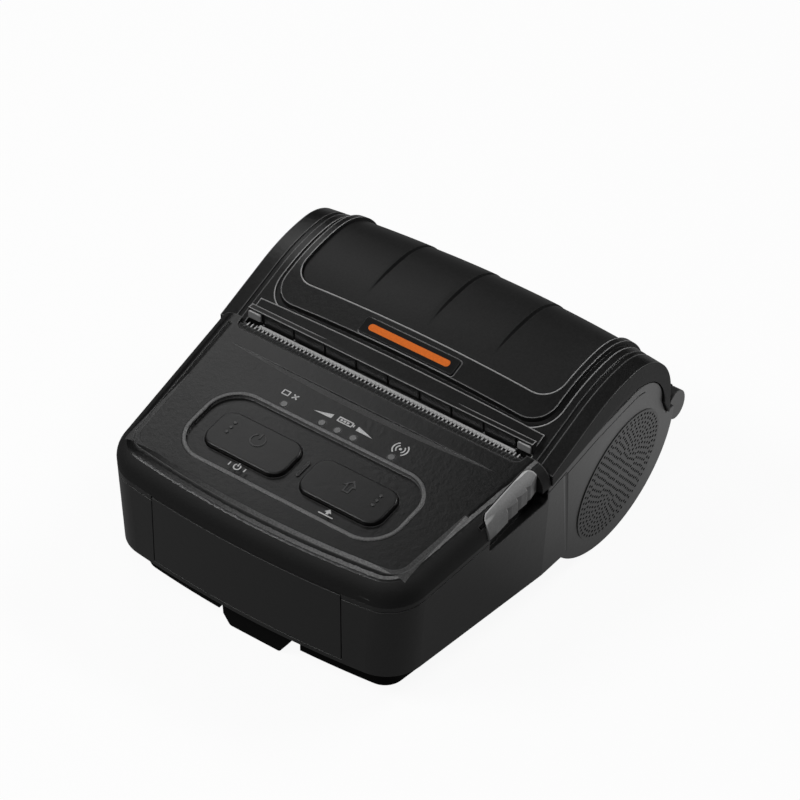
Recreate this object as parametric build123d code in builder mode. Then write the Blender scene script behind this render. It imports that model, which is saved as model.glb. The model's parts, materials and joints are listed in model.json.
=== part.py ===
"""Portable label printer: a black hand-sized thermal printer with a hinged paper lid.

Millimetres, +Z up, front towards -Y. The origin is on the ground under the middle of the
printer. The top of the casing lies in one plane that falls towards the front, and places
on it are given from the paper slot, where it is highest.
"""
import os
from math import atan2, cos, degrees, pi, radians, sin, sqrt, tan

from build123d import *

os.makedirs("parts", exist_ok=True)

# Casing outline
half_width = 52.6            # at the paper slot
front_y = -60.5              # middle of the bowed front
slot_y = -3.4                # front edge of the paper slot
slot_z = 46.0                # height of the top face at the slot
slope = 7.7                  # degrees that the top face falls towards the front
side_taper = 0.09            # how far each side draws in per millimetre towards the front
front_bow = 300.0            # radius of the bowed front in plan
front_corner = 11.0          # plan radius of the front corners
side_lean = 3.0              # how far each side leans in from the top to the ground
wall = 2.0                   # moulded wall of the casings
floor_wall = 1.2
gap = 0.3                    # running gap between separate mouldings
fit = 0.05                   # radial clearance of a pin in its hole
top_thickness = 6.5          # from the top face down to the seam
edge_round = 5.6             # soft edge round the top
casing_floor = 9.0           # lower edge of the side walls

# Paper barrel at the rear
barrel_radius = 27.4
barrel_y = 24.8
barrel_z = 27.9
cap_rise_y = 16.0            # end of the straight part of the side cap's upper edge
cap_rise_z = 43.9
cap_round = 12.5             # upper rear corner of the side caps
cap_round_y = 33.4
cap_round_z = 33.7
cap_foot_y = 48.5
bucket_half = 42.2           # inner half width of the paper bucket

# Base
base_inset = 5.6             # how far the base stands in from the walls
base_lift = 0.5
base_wall = 2.0
foot_radius = 4.0
foot_sink = 0.6

# Lid
lid_front_y = -1.1           # rear wall of the paper slot
lid_line_y = -0.5            # where the lid's front slope begins
lid_front_z = 47.8
lid_rise = 21.0              # degrees that the front of the lid rises
lid_rise_length = 14.8
lid_bow = 52.7               # radius from the rise to the top
lid_rear_round = 20.0
lid_skirt_z = 28.4           # lower edge of the lid's rear wall
lid_crown = 500.0            # radius across the lid
lid_edge_round = 6.0
lid_leg = 14.0
window_half = 41.0
window_start = 13.6          # distance of the window from the lid's front edge
window_depth = 0.9
window_thickness = 0.9
window_crease = 20.0         # spacing of the three creases
badge_half = 14.9
badge_start = 6.6
badge_length = 5.0
badge_thickness = 1.1
slot_half = 44.85
notch_pitch = 10.0
notch_count = 9

plateau_rise = 0.9           # step from the lid's shoulders up to its plateau
plateau_half = 43.0
plateau_start = 6.3
plateau_round = 7.0

# Hinge at the rear
hinge_y = 56.3
hinge_z = 26.2
pin_radius = 1.5
ear_x = 46.6                 # inner face of the casing's hinge ears
ear_thickness = 2.6
ear_radius = (3.7, 4.3)      # of the oval ear, along the printer and upwards
arm_thickness = 2.6

# Platen, print head and gears
platen_radius = 4.0
platen_y = 2.3
platen_z = 39.4
platen_half = 40.4
shaft_radius = 2.0
bushing_radius = 3.6
frame_wall = 2.0             # side plates of the inner frame
gear_module = 0.5
gear_width = 2.2
platen_teeth = 16
idler_teeth = 36
pinion_teeth = 12
head_thickness = 1.0
head_height = 13.0

# Top face
teeth_pitch = 1.22
teeth_count = 71
tear_depth = 1.3
lip_front = -3.6             # front edge of the sloping lip before the slot
lip_fall = 0.5               # how far the lip falls towards the slot
lip_corner = 2.6
flute_depth = 0.06
dish_half = 32.4
dish_near = -21.1
dish_far = -44.2
dish_depth = 0.9
bead_height = 0.3            # raised bead round the dish
bead_width = 1.1
crescent_top = -8.8          # straight upper edge of the crescent above the lights
crescent_low = -10.9
crescent_half = 41.8
crescent_depth = 0.45
edge_line = 5.3              # fine line round the flat top, and the slope inside it
edge_slope = 1.3
edge_sink = 0.3
button_length = 25.0
button_width = 12.4
button_middle = -33.5
button_x = 15.0
button_proud = 1.3
button_round = 3.8
button_travel = 0.8
led_radius = 0.95
led_line = -18.6
led_places = (-16.9, -4.9, 0.0, 4.9, 16.9)

# Lever
lever_inner = 47.4
lever_start = -26.0
lever_end = -6.6
lever_proud = 0.5
lever_skin = 4.0
lever_drop = 6.1             # from the top face down to the lever's lower edge
lever_corner = 2.4           # plan radius of the lever's inner corners
recess_y = (-25.3, -4.0)     # finger recess under the lever
recess_drop = 11.0           # from the top face down to the floor of the recess
rib_places = (-18.6, -14.8, -11.1)

# Battery
battery_half = 29.6
battery_length = 37.0
battery_skin = 1.6

tilt = radians(slope)
up_y = -sin(tilt)
up_z = cos(tilt)


def top_at(y):
    """Height of the sloping top face."""
    return slot_z + (y - slot_y) * tan(tilt)


def seam_at(y):
    """Height of the seam between the upper and the lower mouldings."""
    return top_at(y) - top_thickness


def top_plane(drop):
    """The plane of the top face, lowered by drop, with its origin at the slot."""
    return Plane(origin=(0, slot_y - drop * up_y, slot_z - drop * up_z), x_dir=(1, 0, 0),
                 z_dir=(0, up_y, up_z))


def save(piece, name):
    """Label a finished piece and write it."""
    piece.label = name
    export_step(piece, "parts/" + name + ".step")


def plan_outline(inset, lean=0.0, rear=hinge_y):
    """The casing's outline from above, drawn in by inset all round and by lean at the sides."""
    x_slot = half_width - inset - lean
    y_front = front_y + inset
    x_front = x_slot - side_taper * (slot_y - y_front)
    y_corner = y_front + x_front ** 2 / (2 * front_bow)
    with BuildSketch() as outline:
        with BuildLine():
            ThreePointArc((-x_front, y_corner), (0, y_front), (x_front, y_corner))
            Polyline((x_front, y_corner), (x_slot, slot_y), (x_slot, rear), (-x_slot, rear),
                     (-x_slot, slot_y), (-x_front, y_corner))
        make_face()
        fillet(outline.vertices().group_by(Axis.Y)[0] + [
            v for v in outline.vertices() if abs(v.Y - y_corner) < 0.01], front_corner - inset)
    return outline.sketch


def leaning_block(inset, low, high):
    """The plan outline raised to a block whose sides lean in towards the ground."""
    with BuildPart() as block:
        for z in (low, high):
            with BuildSketch(Plane.XY.offset(z)):
                add(plan_outline(inset, side_lean * (slot_z - z) / slot_z))
        loft()
    return block.part


def barrel_join(radius, floor):
    """Where a floor runs into the barrel's round underside."""
    return barrel_y - sqrt(radius ** 2 - (barrel_z - floor) ** 2)


def cap_profile(grow):
    """Side view of the lower casing, with its upper edge raised by grow."""
    barrel = barrel_radius + grow
    join_y = barrel_join(barrel, casing_floor)
    far = front_y - 5
    radius = cap_round + grow
    start = (cap_round_y - radius * sin(tilt * 0.6), cap_round_z + radius * cos(tilt * 0.6))
    middle = (cap_round_y + radius * sin(pi / 4), cap_round_z + radius * cos(pi / 4))
    rear = (cap_round_y + radius, cap_round_z)
    with BuildSketch() as profile:
        with BuildLine():
            Polyline((far, seam_at(far) + grow), (far, casing_floor), (join_y, casing_floor))
            ThreePointArc((join_y, casing_floor), (barrel_y, barrel_z - barrel),
                          (barrel_y + barrel, barrel_z))
            Polyline((barrel_y + barrel, barrel_z), (barrel_y + barrel, lid_skirt_z - gap + grow),
                     (cap_foot_y + grow, lid_skirt_z - gap + grow), rear)
            ThreePointArc(rear, middle, start)
            Polyline(start, (cap_rise_y, cap_rise_z + grow), (slot_y, seam_at(slot_y) + grow),
                     (far, seam_at(far) + grow))
        make_face()
    return profile.sketch


def cavity_profile(inset, floor, top=80.0):
    """Side view of the room inside the lower casing, open at the top."""
    radius = barrel_radius - inset
    join_y = barrel_join(radius, floor)
    far = front_y - 5
    with BuildSketch() as profile:
        with BuildLine():
            Polyline((far, top), (far, floor), (join_y, floor))
            ThreePointArc((join_y, floor), (barrel_y, barrel_z - radius), (barrel_y + radius, barrel_z))
            Polyline((barrel_y + radius, barrel_z), (barrel_y + radius, top), (far, top))
        make_face()
    return profile.sketch


def cavity(inset, floor):
    """The room inside the lower casing."""
    with BuildPart() as room:
        add(casing_core)
        extrude(Plane.YZ * cavity_profile(inset, floor), amount=half_width + 5, both=True,
                mode=Mode.INTERSECT)
    return room.part


casing_block = leaning_block(0, 0, slot_z + 6)
casing_core = leaning_block(wall, 0, slot_z + 6)


def slab(x, y, z, mode=Mode.ADD):
    """A box between two corners, each direction given as (low, high)."""
    with Locations(((x[0] + x[1]) / 2, (y[0] + y[1]) / 2, (z[0] + z[1]) / 2)):
        Box(x[1] - x[0], y[1] - y[0], z[1] - z[0], mode=mode)


def bar(radius, x, y, z, mode=Mode.ADD):
    """A round bar along X, from x[0] to x[1]."""
    with BuildSketch(Plane.YZ.offset(x[0])) as disc:
        with Locations((y, z)):
            Circle(radius)
    extrude(disc.sketch, amount=x[1] - x[0], mode=mode)


def post(radius, x, y, z, mode=Mode.ADD):
    """An upright round post, from z[0] to z[1]."""
    with Locations((x, y, (z[0] + z[1]) / 2)):
        Cylinder(radius, z[1] - z[0], mode=mode)


def plate(points, x, mode=Mode.ADD):
    """A flat plate with a side view given by points, from x[0] to x[1]."""
    with BuildSketch(Plane.YZ.offset(x[0])) as side:
        with BuildLine():
            Polyline(*points, close=True)
        make_face()
    extrude(side.sketch, amount=x[1] - x[0], mode=mode)


def face_block(x, v, w, mode=Mode.ADD, round_off=0.0):
    """A block square to the top face: v runs up the slope from the slot, w outwards."""
    with BuildSketch(top_plane(-w[0])) as base:
        with Locations(((x[0] + x[1]) / 2, (v[0] + v[1]) / 2)):
            if round_off:
                RectangleRounded(x[1] - x[0], v[1] - v[0], round_off)
            else:
                Rectangle(x[1] - x[0], v[1] - v[0])
    extrude(base.sketch, amount=w[1] - w[0], mode=mode)


# Lower casing: side walls, barrel and hinge ears
bay_floor = casing_floor + floor_wall
battery_low = bay_floor + gap
battery_high = seam_at(front_y) - gap
battery_body = battery_half - battery_skin
battery_rear = front_y + battery_length
pocket_x = 48.4
screw_places = [(x, y) for x in (-33.8, 33.8) for y in (-47.0, -25.0)]
port_y = (-46.0, -25.0)
port_z = (18.5, 29.0)



def recess_room(grow, inner, inset):
    """The finger recess under the lever, larger by grow, from inner out to the side wall."""
    front, rear = recess_y[0] - grow, recess_y[1] + grow
    low = top_thickness - (recess_drop + grow) / cos(tilt)
    with BuildPart() as room:
        plate([(front, seam_at(front)), (front, seam_at(front) + low + 0.8),
               (front + 0.8, seam_at(front + 0.8) + low), (rear - 0.8, seam_at(rear - 0.8) + low),
               (rear, seam_at(rear) + low + 0.8), (rear, seam_at(rear))], (inner, half_width + 1))
        if inset:
            add(leaning_block(inset, 0, slot_z + 6), mode=Mode.INTERSECT)
    return room.part


def side_x(z, out=0.0):
    """How far out the side wall is at a height, behind the slot."""
    return half_width + out - side_lean * (slot_z - z) / slot_z


def strip_line(depth, y_range):
    """A fine line cut into the side walls, a little below their upper edge."""
    with BuildPart() as line:
        add(casing_block)
        add(leaning_block(0.3, 0, slot_z + 6), mode=Mode.SUBTRACT)
        extrude(Plane.YZ * cap_profile(-depth), amount=half_width + 5, both=True, mode=Mode.INTERSECT)
        extrude(Plane.YZ * cap_profile(-depth - 0.35), amount=half_width + 5, both=True,
                mode=Mode.SUBTRACT)
        slab((-60, 60), y_range, (barrel_z + 1, 80), Mode.INTERSECT)
    return line.part


def grille_prism(grow):
    """The outline of the side grilles, right through the casing."""
    with BuildSketch(Plane.YZ) as outline:
        with Locations(Location((grille_y, grille_z), grille_turn)):
            Ellipse(grille_size[0] + grow, grille_size[1] + grow)
    with BuildPart() as prism:
        extrude(outline.sketch, amount=half_width + 5, both=True)
    return prism.part


def grille(grow, deep):
    """Both side grilles, as plates of the given depth flush with the walls."""
    with BuildPart() as plates:
        add(casing_block)
        add(leaning_block(deep, 0, slot_z + 6), mode=Mode.SUBTRACT)
        add(grille_prism(grow), mode=Mode.INTERSECT)
    return plates.part


grille_y = 27.8
grille_z = 21.5
grille_turn = 27.0
grille_size = (18.0, 13.9)
grille_thickness = 1.0
crease_radius = 2.0

with BuildPart() as lower_casing:
    add(casing_block)
    extrude(Plane.YZ * cap_profile(0), amount=half_width + 5, both=True, mode=Mode.INTERSECT)
    add(cavity(wall, bay_floor), mode=Mode.SUBTRACT)
    slab((-battery_half - gap, battery_half + gap), (front_y - 1, front_y + 3.6),
         (bay_floor, slot_z), Mode.SUBTRACT)
    for side in (-1, 1):
        rail = sorted((side * (battery_body + gap), side * (battery_body + gap + 1.5)))
        slab(rail, (front_y + 5, battery_rear), (bay_floor - 0.1, bay_floor + 12))
    for x, y in screw_places:
        post(3.2, x, y, (bay_floor - 0.1, 28.0))
    add(recess_room(1.6, pocket_x - 1.6, 0.3))
    add(recess_room(0, pocket_x, 0), mode=Mode.SUBTRACT)
    slab((-half_width - 1, -44.5), port_y, port_z, Mode.SUBTRACT)
    for x, y in screw_places:
        post(1.25, x, y, (casing_floor - 1, 26.0), Mode.SUBTRACT)
    slab((-5.5, 5.5), (-52.3, -49.0), (casing_floor - 1, bay_floor + 1), Mode.SUBTRACT)
    for side in (-1, 1):
        ear = sorted((side * ear_x, side * (ear_x + ear_thickness)))
        plate([(barrel_y + 24, barrel_z - 9), (hinge_y - 1.6, hinge_z - 5.2), (hinge_y + 1.5, hinge_z - 2.5),
               (hinge_y - 1.0, hinge_z - 0.6), (barrel_y + 26.9, barrel_z - 5.2),
               (barrel_y + 24, barrel_z - 5.2)], ear)
        with BuildSketch(Plane.YZ.offset(ear[0])) as disc:
            with Locations((hinge_y + 0.7, hinge_z - 2.2)):
                Ellipse(*ear_radius)
        extrude(disc.sketch, amount=ear_thickness)
        hole = sorted((side * (ear_x - 1), side * (ear_x + ear_thickness - 0.6)))
        bar(pin_radius, hole, hinge_y, hinge_z, Mode.SUBTRACT)
    add(strip_line(1.3, (-70, 3.5)), mode=Mode.SUBTRACT)
    add(strip_line(2.2, (3.2, 37)), mode=Mode.SUBTRACT)
    for side in (-1, 1):
        upper = Vector(side * (side_x(38.9) + crease_radius - 0.25), 3.3, 38.9)
        lower = Vector(side * (side_x(9.5) + crease_radius - 0.04), 7.2, 9.5)
        with BuildSketch(Plane(origin=upper, z_dir=lower - upper)) as crease:
            Circle(crease_radius)
        extrude(crease.sketch, amount=(lower - upper).length, mode=Mode.SUBTRACT)
    add(grille(0, grille_thickness), mode=Mode.SUBTRACT)
save(lower_casing.part, "lower_casing")

with BuildPart() as grille_right:
    add(grille(-fit, grille_thickness))
    slab((-60, 0), (-70, 70), (0, 80), Mode.SUBTRACT)
save(grille_right.part, "side_grille_right")

with BuildPart() as grille_left:
    add(grille(-fit, grille_thickness))
    slab((0, 60), (-70, 70), (0, 80), Mode.SUBTRACT)
save(grille_left.part, "side_grille_left")

# Base plate under the casing
latch_x = (-8.9, 12.9)
latch_travel = 3.5
latch_y = (-58.0, -47.5)
foot_places = [(x, y) for x in (-36.0, 36.0) for y in (-36.0, 3.0)]
base_top = casing_floor


def tray_room():
    """The room inside the base plate."""
    with BuildPart() as room:
        add(leaning_block(base_inset + base_wall, base_lift + base_wall, base_top + 1))
        slab((-60, 60), (-2.0, 70), (0, 20), Mode.SUBTRACT)
    return room.part


with BuildPart() as base_plate:
    add(leaning_block(base_inset, base_lift, base_top))
    slab((-60, 60), (12.0, 70), (0, base_top + 1), Mode.SUBTRACT)
    add(tray_room(), mode=Mode.SUBTRACT)
    bar(barrel_radius, (-60, 60), barrel_y, barrel_z, Mode.SUBTRACT)
    slab((latch_x[0] - latch_travel - gap, latch_x[1] + gap), (front_y, latch_y[1] + gap),
         (0, base_top + 1), Mode.SUBTRACT)
    for x, y in screw_places:
        post(3.4, x, y, (base_lift + base_wall - 0.1, base_top))
        post(1.3, x, y, (0, base_top + 1), Mode.SUBTRACT)
        post(2.5, x, y, (0, base_lift + 1.8), Mode.SUBTRACT)
    for x, y in foot_places:
        post(foot_radius + 0.1, x, y, (0, base_lift + foot_sink), Mode.SUBTRACT)
save(base_plate.part, "base_plate")

with BuildPart() as feet:
    for x, y in foot_places:
        post(foot_radius, x, y, (0, base_lift + foot_sink))
    chamfer(feet.edges().group_by(Axis.Z)[0], 0.3)
save(feet.part, "rubber_feet")

with BuildPart() as screws:
    for x, y in screw_places:
        post(2.3, x, y, (base_lift + 0.3, base_lift + 1.8))
        post(1.2, x, y, (base_lift + 1.8, 25.0))
    for x, y in screw_places:
        with BuildSketch(Plane.XY.offset(base_lift)) as cross:
            with Locations((x, y)):
                Rectangle(2.4, 0.5)
                Rectangle(0.5, 2.4)
        extrude(cross.sketch, amount=1.1, mode=Mode.SUBTRACT)
save(screws.part, "case_screws")

# Battery pack and its latch
with BuildPart() as battery:
    slab((-battery_half, battery_half), (front_y - 1, front_y + 3.3), (battery_low, battery_high))
    add(casing_block, mode=Mode.INTERSECT)
    slab((-battery_body, battery_body), (front_y + 2.2, battery_rear),
         (battery_low, battery_high - 1.8))
    slab((-6.0, 6.0), (-52.8, battery_rear + 1), (battery_low - 1, battery_low + 2.4), Mode.SUBTRACT)
    slab((-16.0, 16.0), (battery_rear - 3.0, battery_rear + 1), (17.5, 20.5), Mode.SUBTRACT)
save(battery.part, "battery_pack")

with BuildPart() as battery_pads:
    for x in (-12.0, -4.0, 4.0, 12.0):
        slab((x - 1.8, x + 1.8), (battery_rear - 3.0, battery_rear - 2.6), (17.5, 20.5))
save(battery_pads.part, "battery_contact_pads")

with BuildPart() as latch:
    with BuildSketch(Plane.XZ.offset(-latch_y[0])) as front:
        with BuildLine():
            Polyline((latch_x[0], base_top - gap), (latch_x[0] + 0.3, base_lift + 3),
                     (latch_x[0] + 2.4, base_lift), (latch_x[1] - 3.6, base_lift),
                     (latch_x[1] - 0.8, base_lift + 4), (latch_x[1], base_top - gap), close=True)
        make_face()
        fillet(front.vertices().group_by(Axis.Y)[0], 1.2)
    extrude(front.sketch, amount=latch_y[0] - latch_y[1])
    slab((-4.0, 9.0), (latch_y[1] - 0.1, -38.0), (base_lift + base_wall + gap, base_lift + base_wall + 2))
    slab((-1.0, 3.5), (-51.8, -49.6), (base_top - gap - 0.1, battery_low + 2.0))
save(latch.part, "battery_latch")

pin_reach = 1.5
lever_axis_x = 48.3
lever_axis_drop = 1.9
lever_pin_radius = 0.5


def lever_line(y):
    """A plane across the lever's axis at a place along the printer."""
    z = top_at(y) - lever_axis_drop / cos(tilt)
    return Plane(origin=(lever_axis_x, y, z), x_dir=(1, 0, 0), z_dir=(0, cos(tilt), sin(tilt)))


# Top casing
def top_block(inset, drop, below, rounded):
    """The outline between a plane parallel to the top face and a lower one."""
    with BuildPart() as block:
        add(leaning_block(inset, 20, slot_z + 6))
        split(bisect_by=top_plane(drop), keep=Keep.BOTTOM)
        split(bisect_by=top_plane(below), keep=Keep.TOP)
        slab((-60, 60), (slot_y, 80), (0, 80), Mode.SUBTRACT)
        if rounded:
            upper = block.faces().sort_by(Axis(top_plane(0).origin, top_plane(0).z_dir))[-1]
            rear = upper.edges().sort_by(Axis.Y)[-1]
            fillet([e for e in upper.edges() if (e.center() - rear.center()).length > 0.01], rounded)
    return block.part


top_outer = top_block(0, 0, top_thickness * cos(tilt) - 0.02, edge_round)
top_inner = top_block(wall, wall, top_thickness + 3, edge_round - wall)
button_places = [(-button_x, button_middle), (button_x, button_middle)]
board_low = -8.7
board_high = -7.5



def face_outline(inset, drop):
    """The plan outline laid on the top face, drawn in by inset."""
    with BuildSketch(top_plane(drop)) as outline:
        add(plan_outline(inset).moved(Location((0, -slot_y - 0.46, 0))))
    return outline.sketch


def dish_bead():
    """The low rounded bead round the dish."""
    with BuildPart() as bead:
        face_block((-dish_half - bead_width, dish_half + bead_width),
                   (dish_far - bead_width, dish_near + bead_width), (-0.3, bead_height),
                   round_off=8.5 + bead_width)
        face_block((-dish_half, dish_half), (dish_far, dish_near), (-1, 1), Mode.SUBTRACT, 8.5)
        upper = bead.faces().sort_by(Axis(top_plane(0).origin, top_plane(0).z_dir))[-1]
        fillet(upper.edges(), bead_height * 0.93)
    return bead.part


def lever_window(inner, grow, corner, mode):
    """The upright prism in which the lever sits, with rounded inner corners."""
    with BuildSketch() as window:
        with Locations(((inner + 60) / 2, (lever_start + lever_end) / 2)):
            RectangleRounded(60 - inner, lever_end - lever_start + 2 * grow, corner)
    extrude(window.sketch, amount=80, mode=mode)


def edge_groove():
    """The fine line round the flat top, with the slope that runs down to it."""
    rise_over = 0.2
    slope_width = edge_slope * (edge_sink + rise_over) / edge_sink
    with BuildPart() as crown:
        loft([face_outline(edge_line, edge_sink), face_outline(edge_line + slope_width, -rise_over)])
    with BuildPart() as groove:
        extrude(face_outline(edge_line, edge_sink), amount=edge_sink + rise_over)
        add(crown.part, mode=Mode.SUBTRACT)
        slab((0, 60), (-27.5, 80), (0, 80), Mode.SUBTRACT)
        slab((-60, 0), (-6.5, 80), (0, 80), Mode.SUBTRACT)
    return groove.part


def crescent():
    """The crescent-shaped wedge above the lights: deepest along its straight upper edge."""
    length = crescent_top - crescent_low
    lean = atan2(crescent_depth, length)
    origin = top_plane(crescent_depth).from_local_coords((0, crescent_top, 0))
    forward = top_plane(0).from_local_coords((0, -cos(lean), sin(lean))) - top_plane(0).origin
    upright = top_plane(0).from_local_coords((0, sin(lean), cos(lean))) - top_plane(0).origin
    with BuildSketch(Plane(origin=origin, x_dir=upright.cross(forward), z_dir=forward)) as section:
        with BuildLine():
            edge = crescent_depth * 1.02
            ThreePointArc((-crescent_half, edge), (0, 0), (crescent_half, edge))
            Polyline((crescent_half, edge), (crescent_half, 2), (-crescent_half, 2),
                     (-crescent_half, edge))
        make_face()
    with BuildPart() as wedge:
        extrude(section.sketch, amount=length + 1)
    return wedge.part


with BuildPart() as top_casing:
    add(top_outer)
    add(top_inner, mode=Mode.SUBTRACT)
    add(edge_groove(), mode=Mode.SUBTRACT)
    add(crescent(), mode=Mode.SUBTRACT)
    slab((-48, 48), (slot_y - wall, slot_y), (slot_z - 5, slot_z - 1.8))
    face_block((-dish_half, dish_half), (dish_far, dish_near), (-wall - dish_depth, -wall + 0.1),
               round_off=8.5)
    face_block((-dish_half, dish_half), (dish_far, dish_near), (-dish_depth, 2), Mode.SUBTRACT, 8.5)
    add(dish_bead())
    for x, v in button_places:
        face_block((x - button_length / 2 - 0.2, x + button_length / 2 + 0.2),
                   (v - button_width / 2 - 0.2, v + button_width / 2 + 0.2), (-6, 2), Mode.SUBTRACT,
                   button_round + 0.2)
    for x in led_places:
        with BuildSketch(top_plane(4)) as hole:
            with Locations((x, led_line)):
                Circle(led_radius + fit)
        extrude(hole.sketch, amount=6, mode=Mode.SUBTRACT)
    for x in (-34.0, 34.0):
        for v in (-42.0, -16.5):
            with BuildSketch(top_plane(-board_high)) as foot:
                with Locations((x, v)):
                    Circle(2.4)
            extrude(foot.sketch, amount=-board_high - wall + 0.5)
    face_block((-slot_half, slot_half), (lip_front, 4), (-tear_depth, 2), Mode.SUBTRACT, lip_corner)
    face_block((pocket_x - 3.2, pocket_x - 1.6),
               ((lever_start - 0.9 - slot_y) / cos(tilt), (lever_end + 1.0 - slot_y) / cos(tilt)),
               (0.4 - top_thickness, -1.0))
    lever_window(lever_inner - 0.4, gap, lever_corner + 0.3, Mode.SUBTRACT)
    with BuildSketch(lever_line(lever_start - pin_reach)) as pin_hole:
        Circle(lever_pin_radius)
    extrude(pin_hole.sketch, amount=(lever_end - lever_start + 2 * pin_reach) / cos(tilt),
            mode=Mode.SUBTRACT)
save(top_casing.part, "top_casing")

with BuildPart() as tear_bar:
    face_block((-slot_half + 2.0, slot_half - 2.0), (lip_front + 0.3, -tear_depth),
               (-tear_depth, -tear_depth + 0.5))
    first = -teeth_pitch * teeth_count / 2
    with BuildSketch(top_plane(tear_depth)) as teeth:
        with BuildLine():
            outline = [(first, -tear_depth - 0.2)]
            for n in range(teeth_count):
                left = first + n * teeth_pitch
                outline += [(left, -tear_depth + 0.1), (left + teeth_pitch / 2, 0.2)]
            end = first + teeth_count * teeth_pitch
            outline += [(end, -tear_depth + 0.1), (end, -tear_depth - 0.2)]
            Polyline(*outline, close=True)
        make_face()
    extrude(teeth.sketch, amount=0.5)
save(tear_bar.part, "tear_bar")

with BuildPart() as lip:
    front = lip_front + 0.1
    rear = -tear_depth - 0.1
    face_plane = top_plane(0)
    side_view = Plane(origin=face_plane.origin, x_dir=face_plane.y_dir, z_dir=(1, 0, 0))
    with BuildSketch(side_view) as side:
        Polygon((front, -tear_depth + 0.5), (front, -0.04), (rear, -0.04 - lip_fall),
                (rear, -tear_depth + 0.5), align=None)
    extrude(side.sketch, amount=slot_half - 0.1, both=True)
    face_block((-slot_half + 0.1, slot_half - 0.1), (front, 4), (-2, 1), Mode.INTERSECT,
               lip_corner - 0.1)
    fall = Plane(origin=side_view.from_local_coords((front + 0.3, -0.1)),
                 x_dir=(1, 0, 0),
                 z_dir=side_view.from_local_coords((rear - front, -lip_fall)) - side_view.origin)
    with BuildSketch(fall) as flutes:
        with GridLocations(teeth_pitch, 1, teeth_count, 1):
            Rectangle(0.45, 2 * flute_depth)
    extrude(flutes.sketch, amount=rear - front, mode=Mode.SUBTRACT)
save(lip.part, "fluted_strip")

# Buttons, lights and the board under them
for name, (x, v) in zip(("power_button", "feed_button"), button_places):
    with BuildPart() as button:
        face_block((x - button_length / 2, x + button_length / 2),
                   (v - button_width / 2, v + button_width / 2),
                   (-wall - dish_depth - 0.5, button_proud - dish_depth), round_off=button_round)
        top = button.faces().sort_by(Axis(top_plane(0).origin, top_plane(0).z_dir))[-1]
        fillet(top.edges(), 0.5)
        face_block((x - button_length / 2 - 0.9, x + button_length / 2 + 0.9),
                   (v - button_width / 2 - 0.9, v + button_width / 2 + 0.9),
                   (-wall - dish_depth - 1.1, -wall - dish_depth - 0.1), round_off=button_round + 0.9)
        with BuildSketch(top_plane(wall + dish_depth + 1.8)) as stem:
            with Locations((x, v)):
                Circle(1.6)
        extrude(stem.sketch, amount=1.0)
    save(button.part, name)

with BuildPart() as status_lights:
    for x in led_places:
        with BuildSketch(top_plane(wall + 0.6)) as lens:
            with Locations((x, led_line)):
                Circle(led_radius)
        extrude(lens.sketch, amount=wall + 0.7)
save(status_lights.part, "status_lights")

with BuildPart() as main_board:
    face_block((-37, 37), (-45, -12.0), (board_low, board_high))
save(main_board.part, "main_board")

with BuildPart() as switches:
    for x, v in button_places:
        face_block((x - 2.5, x + 2.5), (v - 2.5, v + 2.5), (board_high, board_high + 1.4))
        face_block((x - 1.2, x + 1.2), (v - 1.2, v + 1.2), (board_high + 1.4, -wall - dish_depth - 2.7))
save(switches.part, "button_switches")

with BuildPart() as radio_module:
    face_block((-9, 9), (-27, -13), (board_high, board_high + 2.4))
save(radio_module.part, "wireless_module")

# Lever that opens the lid
scoop_line = [(lever_start - 1, -0.6), (lever_start, 0.05), (-22.3, 0.55)]
for y, depth in zip(rib_places, (1.0, 1.2, 1.4)):
    scoop_line += [(y - 0.1, depth - 0.15), (y, depth + 0.35), (y + 1.5, depth + 0.1)]
scoop_line += [(lever_end - 1.6, 1.8), (lever_end + 1, 2.4), (lever_end + 1, -3)]

with BuildPart() as lever:
    add(top_outer.moved(Location((lever_proud * 0.7, 0, lever_proud * 0.7))))
    lever_window(lever_inner, 0, lever_corner, Mode.INTERSECT)
    add(top_outer.moved(Location((-lever_skin * 0.75, 0, -lever_skin * 0.75))), mode=Mode.SUBTRACT)
    split(bisect_by=top_plane(lever_drop), keep=Keep.TOP)
    with BuildSketch() as scoop:
        Polygon(*[(half_width + lever_proud * 0.7 - side_taper * (slot_y - y) - 0.3 - depth, y)
                  for y, depth in scoop_line] + [(half_width + 3, lever_start - 1)], align=None)
    extrude(scoop.sketch, amount=80, mode=Mode.SUBTRACT)
    with BuildSketch(lever_line(lever_start - 2)) as hole:
        Circle(lever_pin_radius + fit)
    extrude(hole.sketch, amount=lever_end - lever_start + 4, mode=Mode.SUBTRACT)
save(lever.part, "open_lever")

with BuildPart() as lever_pin:
    with BuildSketch(lever_line(lever_start - pin_reach)) as rod:
        Circle(lever_pin_radius)
    extrude(rod.sketch, amount=(lever_end - lever_start + 2 * pin_reach) / cos(tilt))
save(lever_pin.part, "lever_pin")

# Inner frame, print head and motor
reach_length = sqrt((hinge_y - platen_y) ** 2 + (platen_z - hinge_z) ** 2)
lift_y = (platen_z - hinge_z) / reach_length
lift_z = (hinge_y - platen_y) / reach_length
lift_angle = degrees(atan2(lift_z, lift_y))
idler_reach = gear_module * (platen_teeth + idler_teeth) / 2
idler_y = platen_y - idler_reach * lift_y
idler_z = platen_z - idler_reach * lift_z
motor_angle = lift_angle + 12 * 360 / idler_teeth
pinion_reach = gear_module * (pinion_teeth + idler_teeth) / 2
motor_y = idler_y + pinion_reach * cos(radians(motor_angle))
motor_z = idler_z + pinion_reach * sin(radians(motor_angle))
motor_radius = 8.0
motor_length = 19.0
plate_out = bucket_half + frame_wall
gear_x = (-plate_out - 0.8 - gear_width, -plate_out - 0.8)
head_y = platen_y - platen_radius - 0.1
bracket_y = (head_y - 10.0, head_y - 8.2)

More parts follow.
